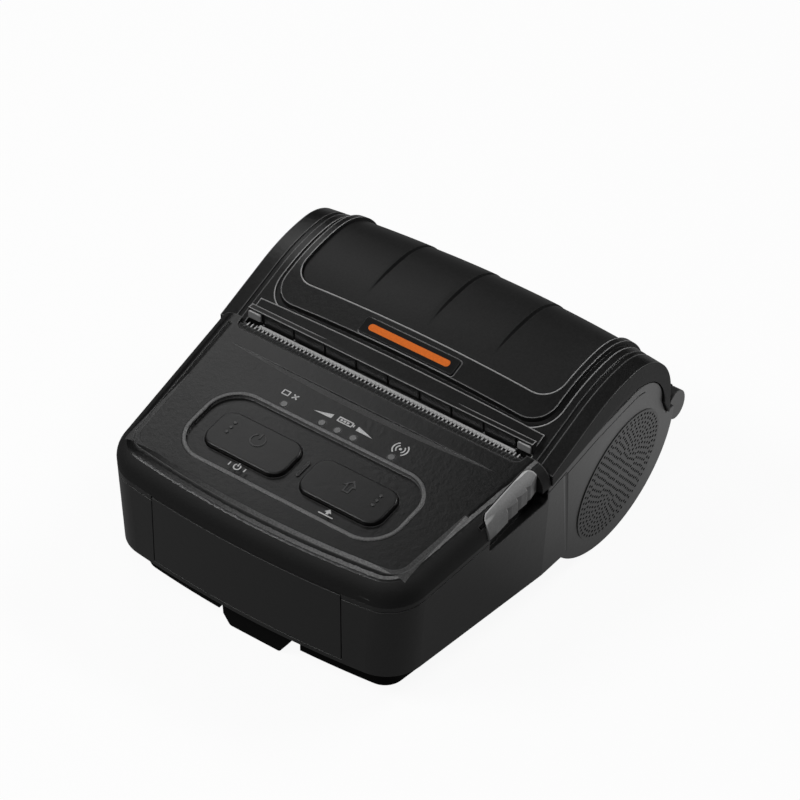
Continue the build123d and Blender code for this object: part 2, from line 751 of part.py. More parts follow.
with BuildPart() as inner_frame:
    for side in (-1, 1):
        cheek = sorted((side * bucket_half, side * plate_out))
        plate([(bracket_y[0] - 11, bay_floor), (barrel_join(barrel_radius - wall, bay_floor), bay_floor),
               (barrel_y, barrel_z), (60, barrel_z), (60, 70), (cap_rise_y, 70), (slot_y, slot_z - 3.4),
               (bracket_y[0], top_at(bracket_y[0]) - 3.4), (bracket_y[0] - 11, 33)], cheek)
        bar(barrel_radius - wall - 0.02, cheek, barrel_y, barrel_z)
    extrude(Plane.YZ * cap_profile(-wall), amount=half_width, both=True, mode=Mode.INTERSECT)
    extrude(Plane.YZ * cavity_profile(wall + 0.02, bay_floor), amount=half_width, both=True,
            mode=Mode.INTERSECT)
    slab((-bucket_half, bucket_half), (bracket_y[0] - 1.6, bracket_y[0]), (bay_floor + 22.4, 41.0))
    slab((-bucket_half, bucket_half), (front_y + 7, motor_y - motor_radius - 1),
         (battery_high - 1.8 + gap, battery_high - 0.5))
    for side in (-1, 1):
        cheek = sorted((side * (bucket_half - 1), side * (plate_out + 1)))
        with BuildSketch(Plane.YZ.offset(cheek[0])) as notch:
            with Locations(Location((platen_y, platen_z), lift_angle - 90)):
                Circle(bushing_radius + fit)
                Rectangle(2 * (bushing_radius + fit), 20, align=(Align.CENTER, Align.MIN))
        extrude(notch.sketch, amount=cheek[1] - cheek[0], mode=Mode.SUBTRACT)
    bar(1.5, (-plate_out - 1, -bucket_half + 1), motor_y, motor_z, Mode.SUBTRACT)
save(inner_frame.part, "inner_frame")

with BuildPart() as print_head:
    slab((-platen_half, platen_half), (head_y - head_thickness, head_y),
         (platen_z - 8, platen_z + head_height - 8))
save(print_head.part, "print_head")

with BuildPart() as heat_sink:
    slab((-platen_half, platen_half), (head_y - 4.4, head_y - head_thickness),
         (platen_z - 9, seam_at(slot_y) - 1))
    for n in range(20):
        x = (n - 9.5) * 4
        slab((x - 1.0, x + 1.0), (head_y - 5, head_y - 2.6), (platen_z - 10, platen_z - 3),
             Mode.SUBTRACT)
save(heat_sink.part, "head_heat_sink")

with BuildPart() as head_bracket:
    slab((-bucket_half, bucket_half), bracket_y, (motor_z + motor_radius + 1, 42.0))
save(head_bracket.part, "head_bracket")

with BuildPart() as head_springs:
    for x in (-22.0, 22.0):
        with BuildSketch(Plane.XZ.offset(-bracket_y[1])) as ring:
            with Locations((x, platen_z - 4)):
                Circle(2.2)
                Circle(1.5, mode=Mode.SUBTRACT)
        extrude(ring.sketch, amount=-(head_y - 4.4 - bracket_y[1]))
save(head_springs.part, "head_springs")

with BuildPart() as label_sensor:
    slab((-5, 5), (bracket_y[1], bracket_y[1] + 3), (platen_z - 6, platen_z - 3))
save(label_sensor.part, "label_sensor")

with BuildPart() as motor:
    bar(motor_radius, (-bucket_half, -bucket_half + motor_length), motor_y, motor_z)
    bar(1.05, (-bucket_half - 1, -bucket_half + 6), motor_y, motor_z, Mode.SUBTRACT)
save(motor.part, "motor")


def gear_wheel(teeth, bore, phase, y, z):
    """A spur gear about X with straight-sided teeth, one of them pointing along phase degrees."""
    pitch_radius = gear_module * teeth / 2
    step = 2 * pi / teeth
    points = []
    for n in range(teeth):
        middle = radians(phase) + n * step
        for part, radius in ((-0.30, -1.2), (-0.12, 0.85), (0.12, 0.85), (0.30, -1.2)):
            angle = middle + part * step * pitch_radius / (pitch_radius + radius * gear_module)
            distance = pitch_radius + radius * gear_module
            points.append((y + distance * cos(angle), z + distance * sin(angle)))
    with BuildSketch(Plane.YZ.offset(gear_x[0])) as side:
        with BuildLine():
            Polyline(*points, close=True)
        make_face()
        with Locations((y, z)):
            Circle(bore, mode=Mode.SUBTRACT)
    extrude(side.sketch, amount=gear_width)


half_step = 180 / platen_teeth
with BuildPart() as idler:
    gear_wheel(idler_teeth, pin_radius + fit, lift_angle, idler_y, idler_z)
save(idler.part, "idler_gear")

with BuildPart() as idler_pin:
    bar(pin_radius, (-plate_out, gear_x[0] - 0.2), idler_y, idler_z)
save(idler_pin.part, "idler_pin")

with BuildPart() as pinion:
    gear_wheel(pinion_teeth, 1.0, motor_angle + 180 + 180 / pinion_teeth, motor_y, motor_z)
save(pinion.part, "motor_pinion")

with BuildPart() as motor_shaft:
    bar(1.0, (gear_x[0], -bucket_half + 5.5), motor_y, motor_z)
save(motor_shaft.part, "motor_shaft")

with BuildPart() as platen_gear:
    gear_wheel(platen_teeth, shaft_radius, lift_angle + 180 + half_step, platen_y, platen_z)
save(platen_gear.part, "platen_gear")

with BuildPart() as platen_shaft:
    bar(shaft_radius, (gear_x[0], plate_out + 0.8), platen_y, platen_z)
save(platen_shaft.part, "platen_shaft")

with BuildPart() as platen:
    bar(platen_radius, (-platen_half, platen_half), platen_y, platen_z)
    bar(shaft_radius, (-platen_half, platen_half), platen_y, platen_z, Mode.SUBTRACT)
save(platen.part, "platen_roller")

with BuildPart() as bushings:
    for side in (-1, 1):
        span = sorted((side * (bucket_half - gap), side * (plate_out + 0.3)))
        bar(bushing_radius, span, platen_y, platen_z)
        bar(shaft_radius + fit, span, platen_y, platen_z, Mode.SUBTRACT)
save(bushings.part, "platen_bushings")

# Ports on the left side
with BuildPart() as port_board:
    slab((-45.0, -38.0), (port_y[0] + 1, port_y[1] - 1), (18.6, 19.8))
    for y in (port_y[0] + 3, port_y[1] - 3):
        slab((-44.0, -41.0), (y - 1.5, y + 1.5), (bay_floor, 18.6))
save(port_board.part, "port_board")

with BuildPart() as usb_socket:
    slab((-45.2, -38.2), (-43.5, -34.5), (19.8, 23.0))
    slab((-46.0, -39.0), (-43.0, -35.0), (20.3, 22.5), Mode.SUBTRACT)
    slab((-45.0, -39.0), (-42.0, -36.0), (21.1, 21.7))
save(usb_socket.part, "usb_socket")

with BuildPart() as power_socket:
    slab((-45.2, -38.2), (-33.5, -26.0), (19.8, 26.8))
    bar(2.8, (-46.0, -39.2), -29.75, 23.3, Mode.SUBTRACT)
    bar(0.8, (-45.0, -39.2), -29.75, 23.3)
save(power_socket.part, "power_socket")

with BuildPart() as port_cover:
    slab((-half_width - 1, -44), (port_y[0] + gap, port_y[1] - 0.5), (port_z[0] + gap, port_z[1] - gap))
    add(casing_block, mode=Mode.INTERSECT)
    add(leaning_block(1.6, 0, slot_z + 6), mode=Mode.SUBTRACT)
save(port_cover.part, "port_cover")

# Lid
rise = radians(lid_rise)


def lid_path(drop, start, run=lid_rise_length, skirt=lid_skirt_z):
    """The lid's side view, lowered by drop: up the front, over the top and down the rear."""
    origin_y = lid_line_y + drop * sin(rise)
    origin_z = lid_front_z - drop * cos(rise)
    begin = (0, origin_y + start * cos(rise), origin_z + start * sin(rise))
    knee = (0, origin_y + run * cos(rise), origin_z + run * sin(rise))
    bow = lid_bow - drop
    top = (0, knee[1] + bow * sin(rise), knee[2] + bow * (1 - cos(rise)))
    half = rise / 2
    bow_middle = (0, knee[1] + bow * (sin(rise) - sin(half)), knee[2] + bow * (cos(half) - cos(rise)))
    rear = lid_rear_round - drop
    rear_middle = (0, top[1] + rear * sin(pi / 4), top[2] - rear * (1 - cos(pi / 4)))
    rear_end = (0, top[1] + rear, top[2] - rear)
    with BuildLine() as path:
        Line(begin, knee)
        ThreePointArc(knee, bow_middle, top)
        ThreePointArc(top, rear_middle, rear_end)
        Line(rear_end, (0, rear_end[1], skirt))
    return path.wire()


def lid_plane(drop, start):
    """The plane across the lid's front slope, with its y axis square to the slope."""
    return Plane(origin=(0, lid_line_y + drop * sin(rise) + start * cos(rise),
                         lid_front_z - drop * cos(rise) + start * sin(rise)),
                 x_dir=(-1, 0, 0), z_dir=(0, cos(rise), sin(rise)))


def slope_plane(drop):
    """The plane of the lid's front slope, lowered by drop."""
    return Plane(lid_plane(drop, 0).origin, x_dir=(1, 0, 0), z_dir=(0, -sin(rise), cos(rise)))


def crown_band(half, thickness, drop, start, creases=()):
    """A crowned strip of the given half width that follows the lid."""
    sag = half ** 2 / (2 * lid_crown)
    with BuildSketch(lid_plane(drop, start)) as section:
        with BuildLine():
            ThreePointArc((-half, -sag), (0, 0), (half, -sag))
            Line((half, -sag), (half, -sag - thickness))
            ThreePointArc((half, -sag - thickness), (0, -thickness), (-half, -sag - thickness))
            Line((-half, -sag - thickness), (-half, -sag))
        make_face()
        for x in creases:
            with Locations((x, -x ** 2 / (2 * lid_crown))):
                Polygon((-0.5, 0.2), (0.5, 0.2), (0, -0.3), align=None, mode=Mode.SUBTRACT)
    with BuildPart() as band:
        sweep(section.sketch, path=lid_path(drop, start))
    return band.part


def lid_section(inset, start):
    """The lid's cross-section, drawn in by inset, down to its side skirts."""
    half = half_width - inset
    sag = half ** 2 / (2 * lid_crown)
    with BuildSketch(lid_plane(plateau_rise, start)) as section:
        with BuildLine():
            ThreePointArc((-half, -inset - sag), (0, -inset), (half, -inset - sag))
            Polyline((half, -inset - sag), (half, -lid_leg), (-half, -lid_leg), (-half, -inset - sag))
        make_face()
        across = section.workplanes[0]
        upper = section.vertices().group_by(Axis(across.origin, across.y_dir))[-1]
        fillet(upper, lid_edge_round - inset)
    return section.sketch


def rounded_front(half, start, corner):
    """An upright block that gives a strip on the lid its rounded front corners."""
    front = lid_line_y + start * cos(rise)
    with BuildPart() as block:
        with BuildSketch() as outline:
            with Locations((0, front + 60)):
                RectangleRounded(2 * half, 120, corner)
        extrude(amount=90)
        slab((-60, 60), (barrel_y + barrel_radius + 5, 200), (0, 90), Mode.SUBTRACT)
    return block.part


def lid_strip(half, thickness, drop, start, corner, creases=()):
    """A crowned strip along the lid with rounded front corners."""
    with BuildPart() as strip:
        add(crown_band(half, thickness, drop, start - 1, creases))
        add(rounded_front(half, start, corner), mode=Mode.INTERSECT)
    return strip.part


lid_overlap = 7.0            # how far the swept lid runs past its front wall before it is cut
front_wall = 1.8
window_bed = window_depth + window_thickness

arm_root_y = barrel_y + barrel_radius - plateau_rise - ear_x ** 2 / (2 * lid_crown) - 0.8


def lid_channel(outer, inner, depth):
    """A shallow channel along the lid between two strips, each given as (half, start, corner)."""
    with BuildPart() as channel:
        add(lid_strip(outer[0], depth + 0.3, plateau_rise - 0.3, outer[1], outer[2]))
        add(lid_strip(inner[0], 3.0, -0.5, inner[1], inner[2]), mode=Mode.SUBTRACT)
    return channel.part


with BuildPart() as lid_shell:
    sweep(lid_section(0, -lid_overlap), path=lid_path(plateau_rise, -lid_overlap))
    sweep(lid_section(wall, -lid_overlap), path=lid_path(plateau_rise, -lid_overlap), mode=Mode.SUBTRACT)
    add(lid_strip(plateau_half, plateau_rise + 0.6, 0, plateau_start, plateau_round))
    add(lid_channel((plateau_half + 1.5, plateau_start - 1.7, plateau_round + 1.6),
                    (plateau_half, plateau_start, plateau_round), 0.45), mode=Mode.SUBTRACT)
    add(lid_channel((48.2, -4, 1.0), (46.8, -4, 1.0), 0.35), mode=Mode.SUBTRACT)
    with BuildSketch(lid_plane(0, -1.0)) as ridge:
        with BuildLine():
            sag = slot_half ** 2 / (2 * lid_crown)
            ThreePointArc((-slot_half, -sag), (0, 0), (slot_half, -sag))
            Polyline((slot_half, -sag), (slot_half, -3), (-slot_half, -3), (-slot_half, -sag))
        make_face()
    extrude(ridge.sketch, amount=5.2)
    slab((-slot_half, slot_half), (lid_front_y - 1, lid_front_y + front_wall), (45.0, lid_front_z))
    slab((-60, 60), (-30, slot_y + gap), (0, 80), Mode.SUBTRACT)
    slab((-slot_half, slot_half), (-30, lid_front_y), (0, 80), Mode.SUBTRACT)
    add(lid_strip(window_half, window_bed + 0.5, -0.5, window_start, plateau_round - 1),
        mode=Mode.SUBTRACT)
    for n in range(notch_count):
        x = (n - (notch_count - 1) / 2) * notch_pitch
        slab((x - 0.3, x + 0.3), (lid_front_y - 1, lid_front_y + 0.5), (44, 47.4), Mode.SUBTRACT)
    with BuildSketch(slope_plane(0)) as spot:
        with Locations((0, badge_start + badge_length / 2)):
            RectangleRounded(2 * badge_half, badge_length, 0.8)
    extrude(spot.sketch, amount=0.6, both=True, mode=Mode.SUBTRACT)
    for side in (-1, 1):
        slab((side * 30 - 2, side * 30 + 2), (10.6, 12.2), (46.4, 49.4))
        arm = sorted((side * (ear_x - gap - arm_thickness), side * (ear_x - gap)))
        with BuildSketch(Plane.YZ.offset(arm[0])) as eye:
            with Locations((hinge_y, hinge_z)):
                Circle(3.2)
            with Locations((arm_root_y, lid_skirt_z + 2.2), (arm_root_y, lid_skirt_z + 7.5)):
                Circle(0.6)
            make_hull()
        extrude(eye.sketch, amount=arm_thickness)
        bar(pin_radius + fit, (arm[0] - 1, arm[1] + 1), hinge_y, hinge_z, Mode.SUBTRACT)
    extrude(Plane.YZ * cap_profile(gap), amount=half_width + 5, both=True, mode=Mode.SUBTRACT)
    bar(gear_module * (platen_teeth / 2 + 1) + gap, (gear_x[0] - gap, gear_x[1] + gap),
        platen_y, platen_z, Mode.SUBTRACT)
save(lid_shell.part, "lid_shell")

window = lid_strip(window_half - 0.2, window_thickness - 0.03, window_depth, window_start + 0.2,
                   plateau_round - 1, (-window_crease, 0.0, window_crease))
with BuildPart() as lid_window:
    add(window)
    slab((-60, 60), (0, 200), (0, lid_skirt_z + 4), Mode.SUBTRACT)
save(lid_window.part, "lid_window")

with BuildPart() as badge:
    with BuildSketch(slope_plane(0.6)) as spot:
        with Locations((0, badge_start + badge_length / 2)):
            RectangleRounded(2 * badge_half - 0.2, badge_length - 0.2, 0.8)
    extrude(spot.sketch, amount=badge_thickness)
save(badge.part, "badge_plate")

with BuildPart() as platen_bracket:
    for side in (-1, 1):
        cheek = sorted((side * (platen_half + 0.3), side * (bucket_half - gap)))
        with BuildSketch(Plane.YZ.offset(cheek[0])) as hanger:
            with Locations((platen_y, platen_z)):
                Circle(bushing_radius)
            with Locations((3.4, 42.4), (12.0, 45.6)):
                Circle(0.6)
            make_hull()
            with Locations((platen_y, platen_z)):
                Circle(shaft_radius + 0.3, mode=Mode.SUBTRACT)
        extrude(hanger.sketch, amount=cheek[1] - cheek[0])
    slab((-platen_half - 0.4, platen_half + 0.4), (10.6, 12.2), (44.6, 46.4))
save(platen_bracket.part, "platen_bracket")

with BuildPart() as hinge_pin:
    bar(pin_radius, (-ear_x - ear_thickness + 0.6, ear_x + ear_thickness - 0.6), hinge_y, hinge_z)
save(hinge_pin.part, "hinge_pin")
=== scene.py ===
"""Looks of the portable label printer: the finishes, the fine moulded details and a plain studio.

Lengths are in metres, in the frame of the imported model: +Z up, front towards -Y. Places on the
sloping top face are given as on the real printer, across (x) and up the slope from the paper
slot (v), in millimetres.
"""
import json
import math

import bmesh
import bpy
from mathutils import Matrix, Vector


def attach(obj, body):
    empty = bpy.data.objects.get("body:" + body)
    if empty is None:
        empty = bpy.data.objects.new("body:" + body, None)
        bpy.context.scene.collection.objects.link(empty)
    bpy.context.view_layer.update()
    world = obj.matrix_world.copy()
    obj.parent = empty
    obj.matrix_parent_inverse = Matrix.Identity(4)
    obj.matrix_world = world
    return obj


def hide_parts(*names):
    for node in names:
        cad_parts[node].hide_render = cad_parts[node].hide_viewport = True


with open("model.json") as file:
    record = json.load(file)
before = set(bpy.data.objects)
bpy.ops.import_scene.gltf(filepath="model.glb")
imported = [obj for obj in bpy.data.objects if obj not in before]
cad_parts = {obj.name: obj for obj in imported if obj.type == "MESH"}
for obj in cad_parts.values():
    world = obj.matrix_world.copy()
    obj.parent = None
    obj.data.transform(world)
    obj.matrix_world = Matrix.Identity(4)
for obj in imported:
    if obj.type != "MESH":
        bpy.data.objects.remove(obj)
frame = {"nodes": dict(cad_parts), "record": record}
bpy.ops.object.select_all(action="DESELECT")
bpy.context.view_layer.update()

MM = 0.001
TOOTH_PITCH = 0.00122                # of the tear bar, in metres
EDGE_REACH = 0.0004                  # painted edge highlights are about this wide, in metres
SMUDGE = 0.06                        # how much handling changes the roughness
ARC_STEPS = 28                       # sides of a drawn ring or arc
CORNER_STEPS = 5                     # sides of a drawn round corner
SLOPE = math.radians(7.7)            # the top face falls this much towards the front
SLOT = Vector((0.0, -3.4, 46.0))     # middle of the paper slot's front edge
RISE = math.radians(21.0)            # the front of the lid rises this much
LID_LINE = Vector((0.0, -0.5, 47.8)) # where the lid's front slope begins
LID_WALL = -1.1                      # front wall of the lid, behind the slot
SIDE_LEAN = 3.0 / 46.0               # the sides lean in by this share of the height
HALF_WIDTH = 52.6                    # half width of the casing at the slot
INK = 0.03                           # thickness of printed signs
KEY_TOP = 0.4                        # the keys stand this far above the top face
DISH_DEPTH = 0.9                     # floor of the dish under the top face
DISH_HALF = 32.4                     # half width of the dish
DISH_ENDS = (-21.1, -44.2)           # its ends up the top face
DISH_CORNER = 8.5
BEAD_WIDTH = 1.1                     # of the bead round the dish
FLAT_HALF = 44.0                     # half width of the flat part of the top face
FLAT_FRONT = -52.0                   # its front end, along the printer
SHOULDER = 46.6                      # where the lid's shoulders begin, to either side
LIGHT_LINE = -18.6                   # place of the status lights up the top face
LIGHT_PLACES = (-16.9, -4.9, 0.0, 4.9, 16.9)
SIGN_LINE = -15.2                    # place of the signs above the lights
KEY_SIGN_LINE = -41.9                # place of the signs under the keys

# The window's outer face, seen from the side: up the slope, over a bow and down the rear
WINDOW_DROP = 0.9                    # its recess under the lid's plateau
WINDOW_FRONT = 13.8                  # its front edge, up the slope
WINDOW_HALF = 40.8                   # its half width
WINDOW_CORNER = 6.0                  # radius of its front corners
WINDOW_SHEET = 0.87                  # its thickness
SLOPE_RUN = 14.8                     # the slope ends and the bow begins this far up
BOW = 52.7 - WINDOW_DROP             # radius over the top
REAR_ROUND = 20.0 - WINDOW_DROP      # radius between the top and the rear
REAR_LEG = 4.2                       # straight part below that
CROWN = 500.0                        # radius across the lid

# The window's creases: each steps down to the right, and the panel beside it rises back
CREASES = (-20.0, 0.0, 20.0)
CREASE_DEPTH = 0.6
CREASE_STEP = (-0.42, 0.3)           # start and end of the step, across from the crease
CREASE_COLUMNS = (-0.42, -0.3, -0.2, -0.1, 0.0, 0.1, 0.2, 0.3, 0.45, 0.7, 1.1, 1.7, 2.5)
PANEL_RISE = 18.0                    # width over which the panel rises back
CREASE_DEEPENS = (2.0, 18.0)         # up from the window's front edge
CREASE_THINS = (20.0, 34.0)          # further up it loses some of its depth
CREASE_LOSS = 0.62                   # share of its depth that it loses there
CREASE_FADES = (8.0, 1.0)            # it ends between these, before the window's rear edge

# Side grilles, seen from the right: places are along the printer and up
GRILLE_MIDDLE = Vector((28.25, 21.1))
GRILLE_TURN = math.radians(40.5)
GRILLE_RING = (17.6, 13.8)           # half length and half width of the outermost ring of holes
GRILLE_EDGE = 1.1                    # plain edge outside that ring
RING_STEP = 1.28
HOLE_STEP = 1.68
HOLE_RADIUS = 0.42
SHADE_SHEET = 0.06                          # a near-black sheet behind the holes, painted shade inside them
GRILLE_SKIN = 0.16                   # perforated skin over the felt

# The photograph's view: azimuth, elevation and roll in degrees, and the camera's place
VIEW_ANGLES = (37.230, 40.1463, -0.0289)
VIEW_PLACE = Vector((0.51310, -0.67127, 0.75138))
VIEW_LENS = 196.86

# Lamps of the studio: place, width, height and power. All shine at the middle of the printer.
LAMPS = {
    "near_left": ((-0.22, 0.13, 0.3), 0.12, 0.16, 0.12),
    "overhead": ((0.3, -0.6, 1.1), 0.9, 0.5, 3.0),
    "rear_right": ((0.36, 0.67, 0.82), 0.5, 0.14, 4.0),
    "front_left": ((-0.51, -0.58, 0.82), 0.5, 0.12, 5.0),
}
LAMP_AIM = Vector((0.0, 0.0, 0.03))
FILL = 0.45                          # light from all round, apart from what a gloss shows


class Signal:
    """What comes out of a shader node. Arithmetic on it adds Math nodes to its finish."""

    def __init__(self, finish, socket):
        self.finish = finish
        self.socket = socket

    def maths(self, operation, *values, clamp=False):
        return self.finish.node("ShaderNodeMath", values, operation=operation, use_clamp=clamp)

    def __add__(self, other):
        return self.maths("ADD", self, other)

    def __sub__(self, other):
        return self.maths("SUBTRACT", self, other)

    def __rsub__(self, other):
        return self.maths("SUBTRACT", other, self)

    def __mul__(self, other):
        return self.maths("MULTIPLY", self, other)

    def __truediv__(self, other):
        return self.maths("DIVIDE", self, other)

    def __pow__(self, other):
        return self.maths("POWER", self, other)

    def __lt__(self, other):
        return self.maths("LESS_THAN", self, other)

    def __gt__(self, other):
        return self.maths("GREATER_THAN", self, other)

    def __abs__(self):
        return self.maths("ABSOLUTE", self)

    def largest(self, other):
        return self.maths("MAXIMUM", self, other)

    def clamped(self):
        return self.maths("ADD", self, 0.0, clamp=True)

    __radd__ = __add__
    __rmul__ = __mul__


class Finish:
    """A material in the making: one principled shader and the nodes that vary it."""

    def __init__(self, name, **constants):
        self.material = bpy.data.materials.new(name)
        self.material.use_nodes = True
        self.tree = self.material.node_tree
        self.shader = self.tree.nodes["Principled BSDF"]
        for socket, value in constants.items():
            self.shader.inputs[socket.replace("_", " ")].default_value = value

    def node(self, kind, values=(), output=0, **settings):
        """Adds a node, sets it up, fills its inputs by place or by name, and gives one output."""
        made = self.tree.nodes.new(kind)
        for setting, value in settings.items():
            setattr(made, setting, value)
        pairs = values.items() if isinstance(values, dict) else enumerate(values)
        for place, value in pairs:
            if isinstance(value, Signal):
                self.tree.links.new(value.socket, made.inputs[place])
            else:
                made.inputs[place].default_value = value
        return Signal(self, made.outputs[output])

    def feed(self, socket, signal):
        self.tree.links.new(signal.socket, self.shader.inputs[socket])

    def coordinates(self):
        return self.node("ShaderNodeTexCoord", output="Object")

    def noise(self, size, detail=2.0, roughness=0.5, stretch=None):
        """Noise whose lumps are about size metres across."""
        place = self.coordinates()
        if stretch:
            place = self.node("ShaderNodeMapping", {"Vector": place, "Scale": stretch})
        return self.node("ShaderNodeTexNoise", {"Vector": place, "Scale": 1.0 / size,
                                                "Detail": detail, "Roughness": roughness})

    def blend(self, factor, first, second):
        """A colour between two others."""
        return self.node("ShaderNodeMix", {0: factor, 6: first, 7: second}, output=2,
                         data_type="RGBA")

    def relief(self, *layers, round_edges=0.0):
        """Bumps of (signal, depth in metres) on a surface, over softened edges if asked."""
        normal = None
        if round_edges:
            normal = self.node("ShaderNodeBevel", {"Radius": round_edges}, samples=4)
        for height, depth in layers:
            values = {"Height": height, "Distance": depth, "Strength": 1.0}
            if normal:
                values["Normal"] = normal
            normal = self.node("ShaderNodeBump", values)
        if normal:
            self.feed("Normal", normal)


def colour(red, green=None, blue=None):
    green = red if green is None else green
    blue = red if blue is None else blue
    return (red, green, blue, 1.0)


def moulded(name, dark, light, grain, depth, roughness, gloss=0.3, edge=0.0003, glint=0.0,
            accents=None):
    """Moulded plastic: spark-eroded grain, faint flow marks and handled, slightly shinier spots.

    Its outer edges that face up are painted with a highlight of the shade glint. A function given
    as accents changes the colour and the roughness where the mould is finished in another way and
    where light or shade is painted, and says how strong the painted edge highlight is.
    """
    finish = Finish(name, Specular_IOR_Level=gloss)
    fine = finish.noise(grain, detail=3.0, roughness=0.6)
    coarse = finish.noise(grain * 3.1, detail=1.0)
    cloud = finish.noise(0.021, detail=4.0, roughness=0.62)
    speckle = ((fine - 0.5) * 2.4 + 0.5 + (cloud - 0.5) * 0.8).clamped()
    tint = finish.blend(speckle, colour(dark), colour(light))
    sheen = (cloud - 0.5) * SMUDGE + (fine - 0.5) * 0.12 + roughness
    painted_glint_share = 1.0
    if accents:
        tint, sheen, painted_glint_share = accents(finish, tint, sheen, speckle)
    # painted highlight: convex outer edges that face up are lightened towards the shade glint
    if glint:
        inward = finish.node("ShaderNodeAmbientOcclusion", {"Distance": EDGE_REACH}, output="AO",
                             inside=True, only_local=True, samples=4)
        upward = (facing(finish, (0.0, 0.0, 1.0)) * 2.0 - 0.2).clamped()
        tint = finish.blend(((1.0 - inward) * 2.2 - 0.1).clamped() * upward * painted_glint_share, tint,
                            colour(glint))
    finish.feed("Base Color", tint)
    finish.feed("Roughness", sheen)
    finish.relief((fine, depth), (coarse, depth * 1.4), round_edges=edge)
    return finish.material


def facing(finish, direction):
    """How far a surface faces a direction, from -1 to 1."""
    normal = finish.node("ShaderNodeNewGeometry", output="Normal")
    return finish.node("ShaderNodeVectorMath", [normal, direction], output="Value",
                       operation="DOT_PRODUCT")


def place_of(finish):
    """Where a surface is: across the printer, along it and up, in metres."""
    place = finish.coordinates()
    return [finish.node("ShaderNodeSeparateXYZ", [place], output=axis) for axis in (0, 1, 2)]


def outside_dish(across, along):
    """How far a place on the top face is outside the rounded dish round the keys, in metres."""
    near, far = DISH_ENDS
    up_slope = (along - SLOT.y * MM) / math.cos(SLOPE) - (near + far) / 2 * MM
    x = (abs(across) - (DISH_HALF - DISH_CORNER) * MM).largest(0.0)
    v = (abs(up_slope) - ((near - far) / 2 - DISH_CORNER) * MM).largest(0.0)
    return (x * x + v * v) ** 0.5 - DISH_CORNER * MM


def top_accents(finish, tint, sheen, speckle):
    """The top casing's slopes, the band round its front and the bead round the dish are painted
    lighter and coarser, a painted highlight; its soft outer edge is matt.
    """
    level = facing(finish, (0.0, -math.sin(SLOPE), math.cos(SLOPE)))
    across, along, _ = place_of(finish)
    inside = (across * across < (FLAT_HALF * MM) ** 2) * (along > FLAT_FRONT * MM)
    # painted highlight on the band round the front edge, brighter towards the right
    band = (1.0 - inside) * (level > 0.95) * (level < 0.99) * (across * 14.0 + 0.55).clamped()
    slope = inside * (level > 0.4) * (level < 0.99)
    gap = outside_dish(across, along)
    bead = (gap > 0.0) * (gap < BEAD_WIDTH * MM)
    # the painted highlight of the band, the slopes and the bead, broken up by the grain
    share = band.largest(slope * 0.4).largest(bead * 0.75) * (speckle * 0.6 + 0.4)
    matt = (1.0 - inside) * (level < 0.9) * 0.42
    return finish.blend(share, tint, colour(0.22)), sheen + matt, 1.0


def lid_accents(finish, tint, sheen, speckle):
    """The lid's side walls are matt, and its painted edge highlight is weaker on its shoulders than
    on its middle.
    """
    side = facing(finish, (1.0, 0.0, 0.0))
    across, _, _ = place_of(finish)
    middle = abs(across) < SHOULDER * MM
    # the last value weakens the painted edge highlight on the shoulders
    return tint, sheen + (side * side > 0.6) * 0.4, middle * 0.7 + 0.3


def side_accents(finish, tint, sheen, speckle):
    """The side walls are painted a little paler towards the top of the round barrel, painted light
    where the lamps fall on it.
    """
    _, along, height = place_of(finish)
    # painted light: the upper rear of the side walls is lightened
    barrel = ((along - 0.006) * 50.0).clamped() * ((height - 0.012) * 40.0).clamped()
    return finish.blend(barrel, tint, colour(0.05)), sheen, 1.0


def window_accents(finish, tint, sheen, speckle):
    """The steps of the window's creases are left matt and painted darker, a painted shade on the
    faces that turn to the right.
    """
    across, _, _ = place_of(finish)
    away_from_rims = abs(across) < (WINDOW_HALF - WINDOW_CORNER) * MM
    # painted shade: the crease faces turned towards +x are darkened
    step = ((facing(finish, (1.0, 0.0, 0.0)) - 0.16) * 6.0).clamped() * away_from_rims
    return finish.blend(step, tint, colour(0.001)), sheen + step * 0.4, 1.0


def lever_accents(finish, tint, sheen, speckle):
    """The lever's flat upper half is painted paler than its scoop, a painted highlight on the faces
    that look up.
    """
    level = facing(finish, (0.0, -math.sin(SLOPE), math.cos(SLOPE)))
    # painted highlight on the faces that look up
    return finish.blend(level > 0.96, tint, colour(0.6)), sheen, 1.0


def brushed(name, shade, roughness, along=(1.0, 1.0, 1.0), metallic=1.0):
    """Bare metal with fine drawn lines along one direction and duller patches."""
    finish = Finish(name, Metallic=metallic)
    lines = finish.noise(0.00035, detail=2.0, stretch=along)
    cloud = finish.noise(0.008, detail=3.0)
    finish.feed("Base Color", finish.blend(((lines - 0.5) * 1.6 + 0.5).clamped(),
                                           colour(shade * 0.82), colour(shade)))
    finish.feed("Roughness", (lines - 0.5) * 0.14 + (cloud - 0.5) * 0.12 + roughness)
    finish.relief((lines, 0.000008), round_edges=0.00015)
    return finish.material


def toothed(name):
    """The tear bar's blackened steel with a painted highlight on each tooth, dark between them."""
    finish = Finish(name, Metallic=0.15, Specular_IOR_Level=0.25)
    across, _, _ = place_of(finish)
    phase = finish.node("ShaderNodeMath", [across * (1.0 / TOOTH_PITCH) + 0.5], operation="FRACT")
    # painted highlight: a bright stripe at each tooth stands in for the light on its tip
    lit_tooth_stripe = (phase > 0.33) * (phase < 0.67)
    grind = finish.noise(0.0003, detail=2.0)
    finish.feed("Base Color", finish.blend(lit_tooth_stripe * (grind * 0.4 + 0.6), colour(0.008), colour(0.5)))
    finish.feed("Roughness", grind * 0.2 + 0.35)
    finish.relief((grind, 0.000006), round_edges=0.0001)
    return finish.material


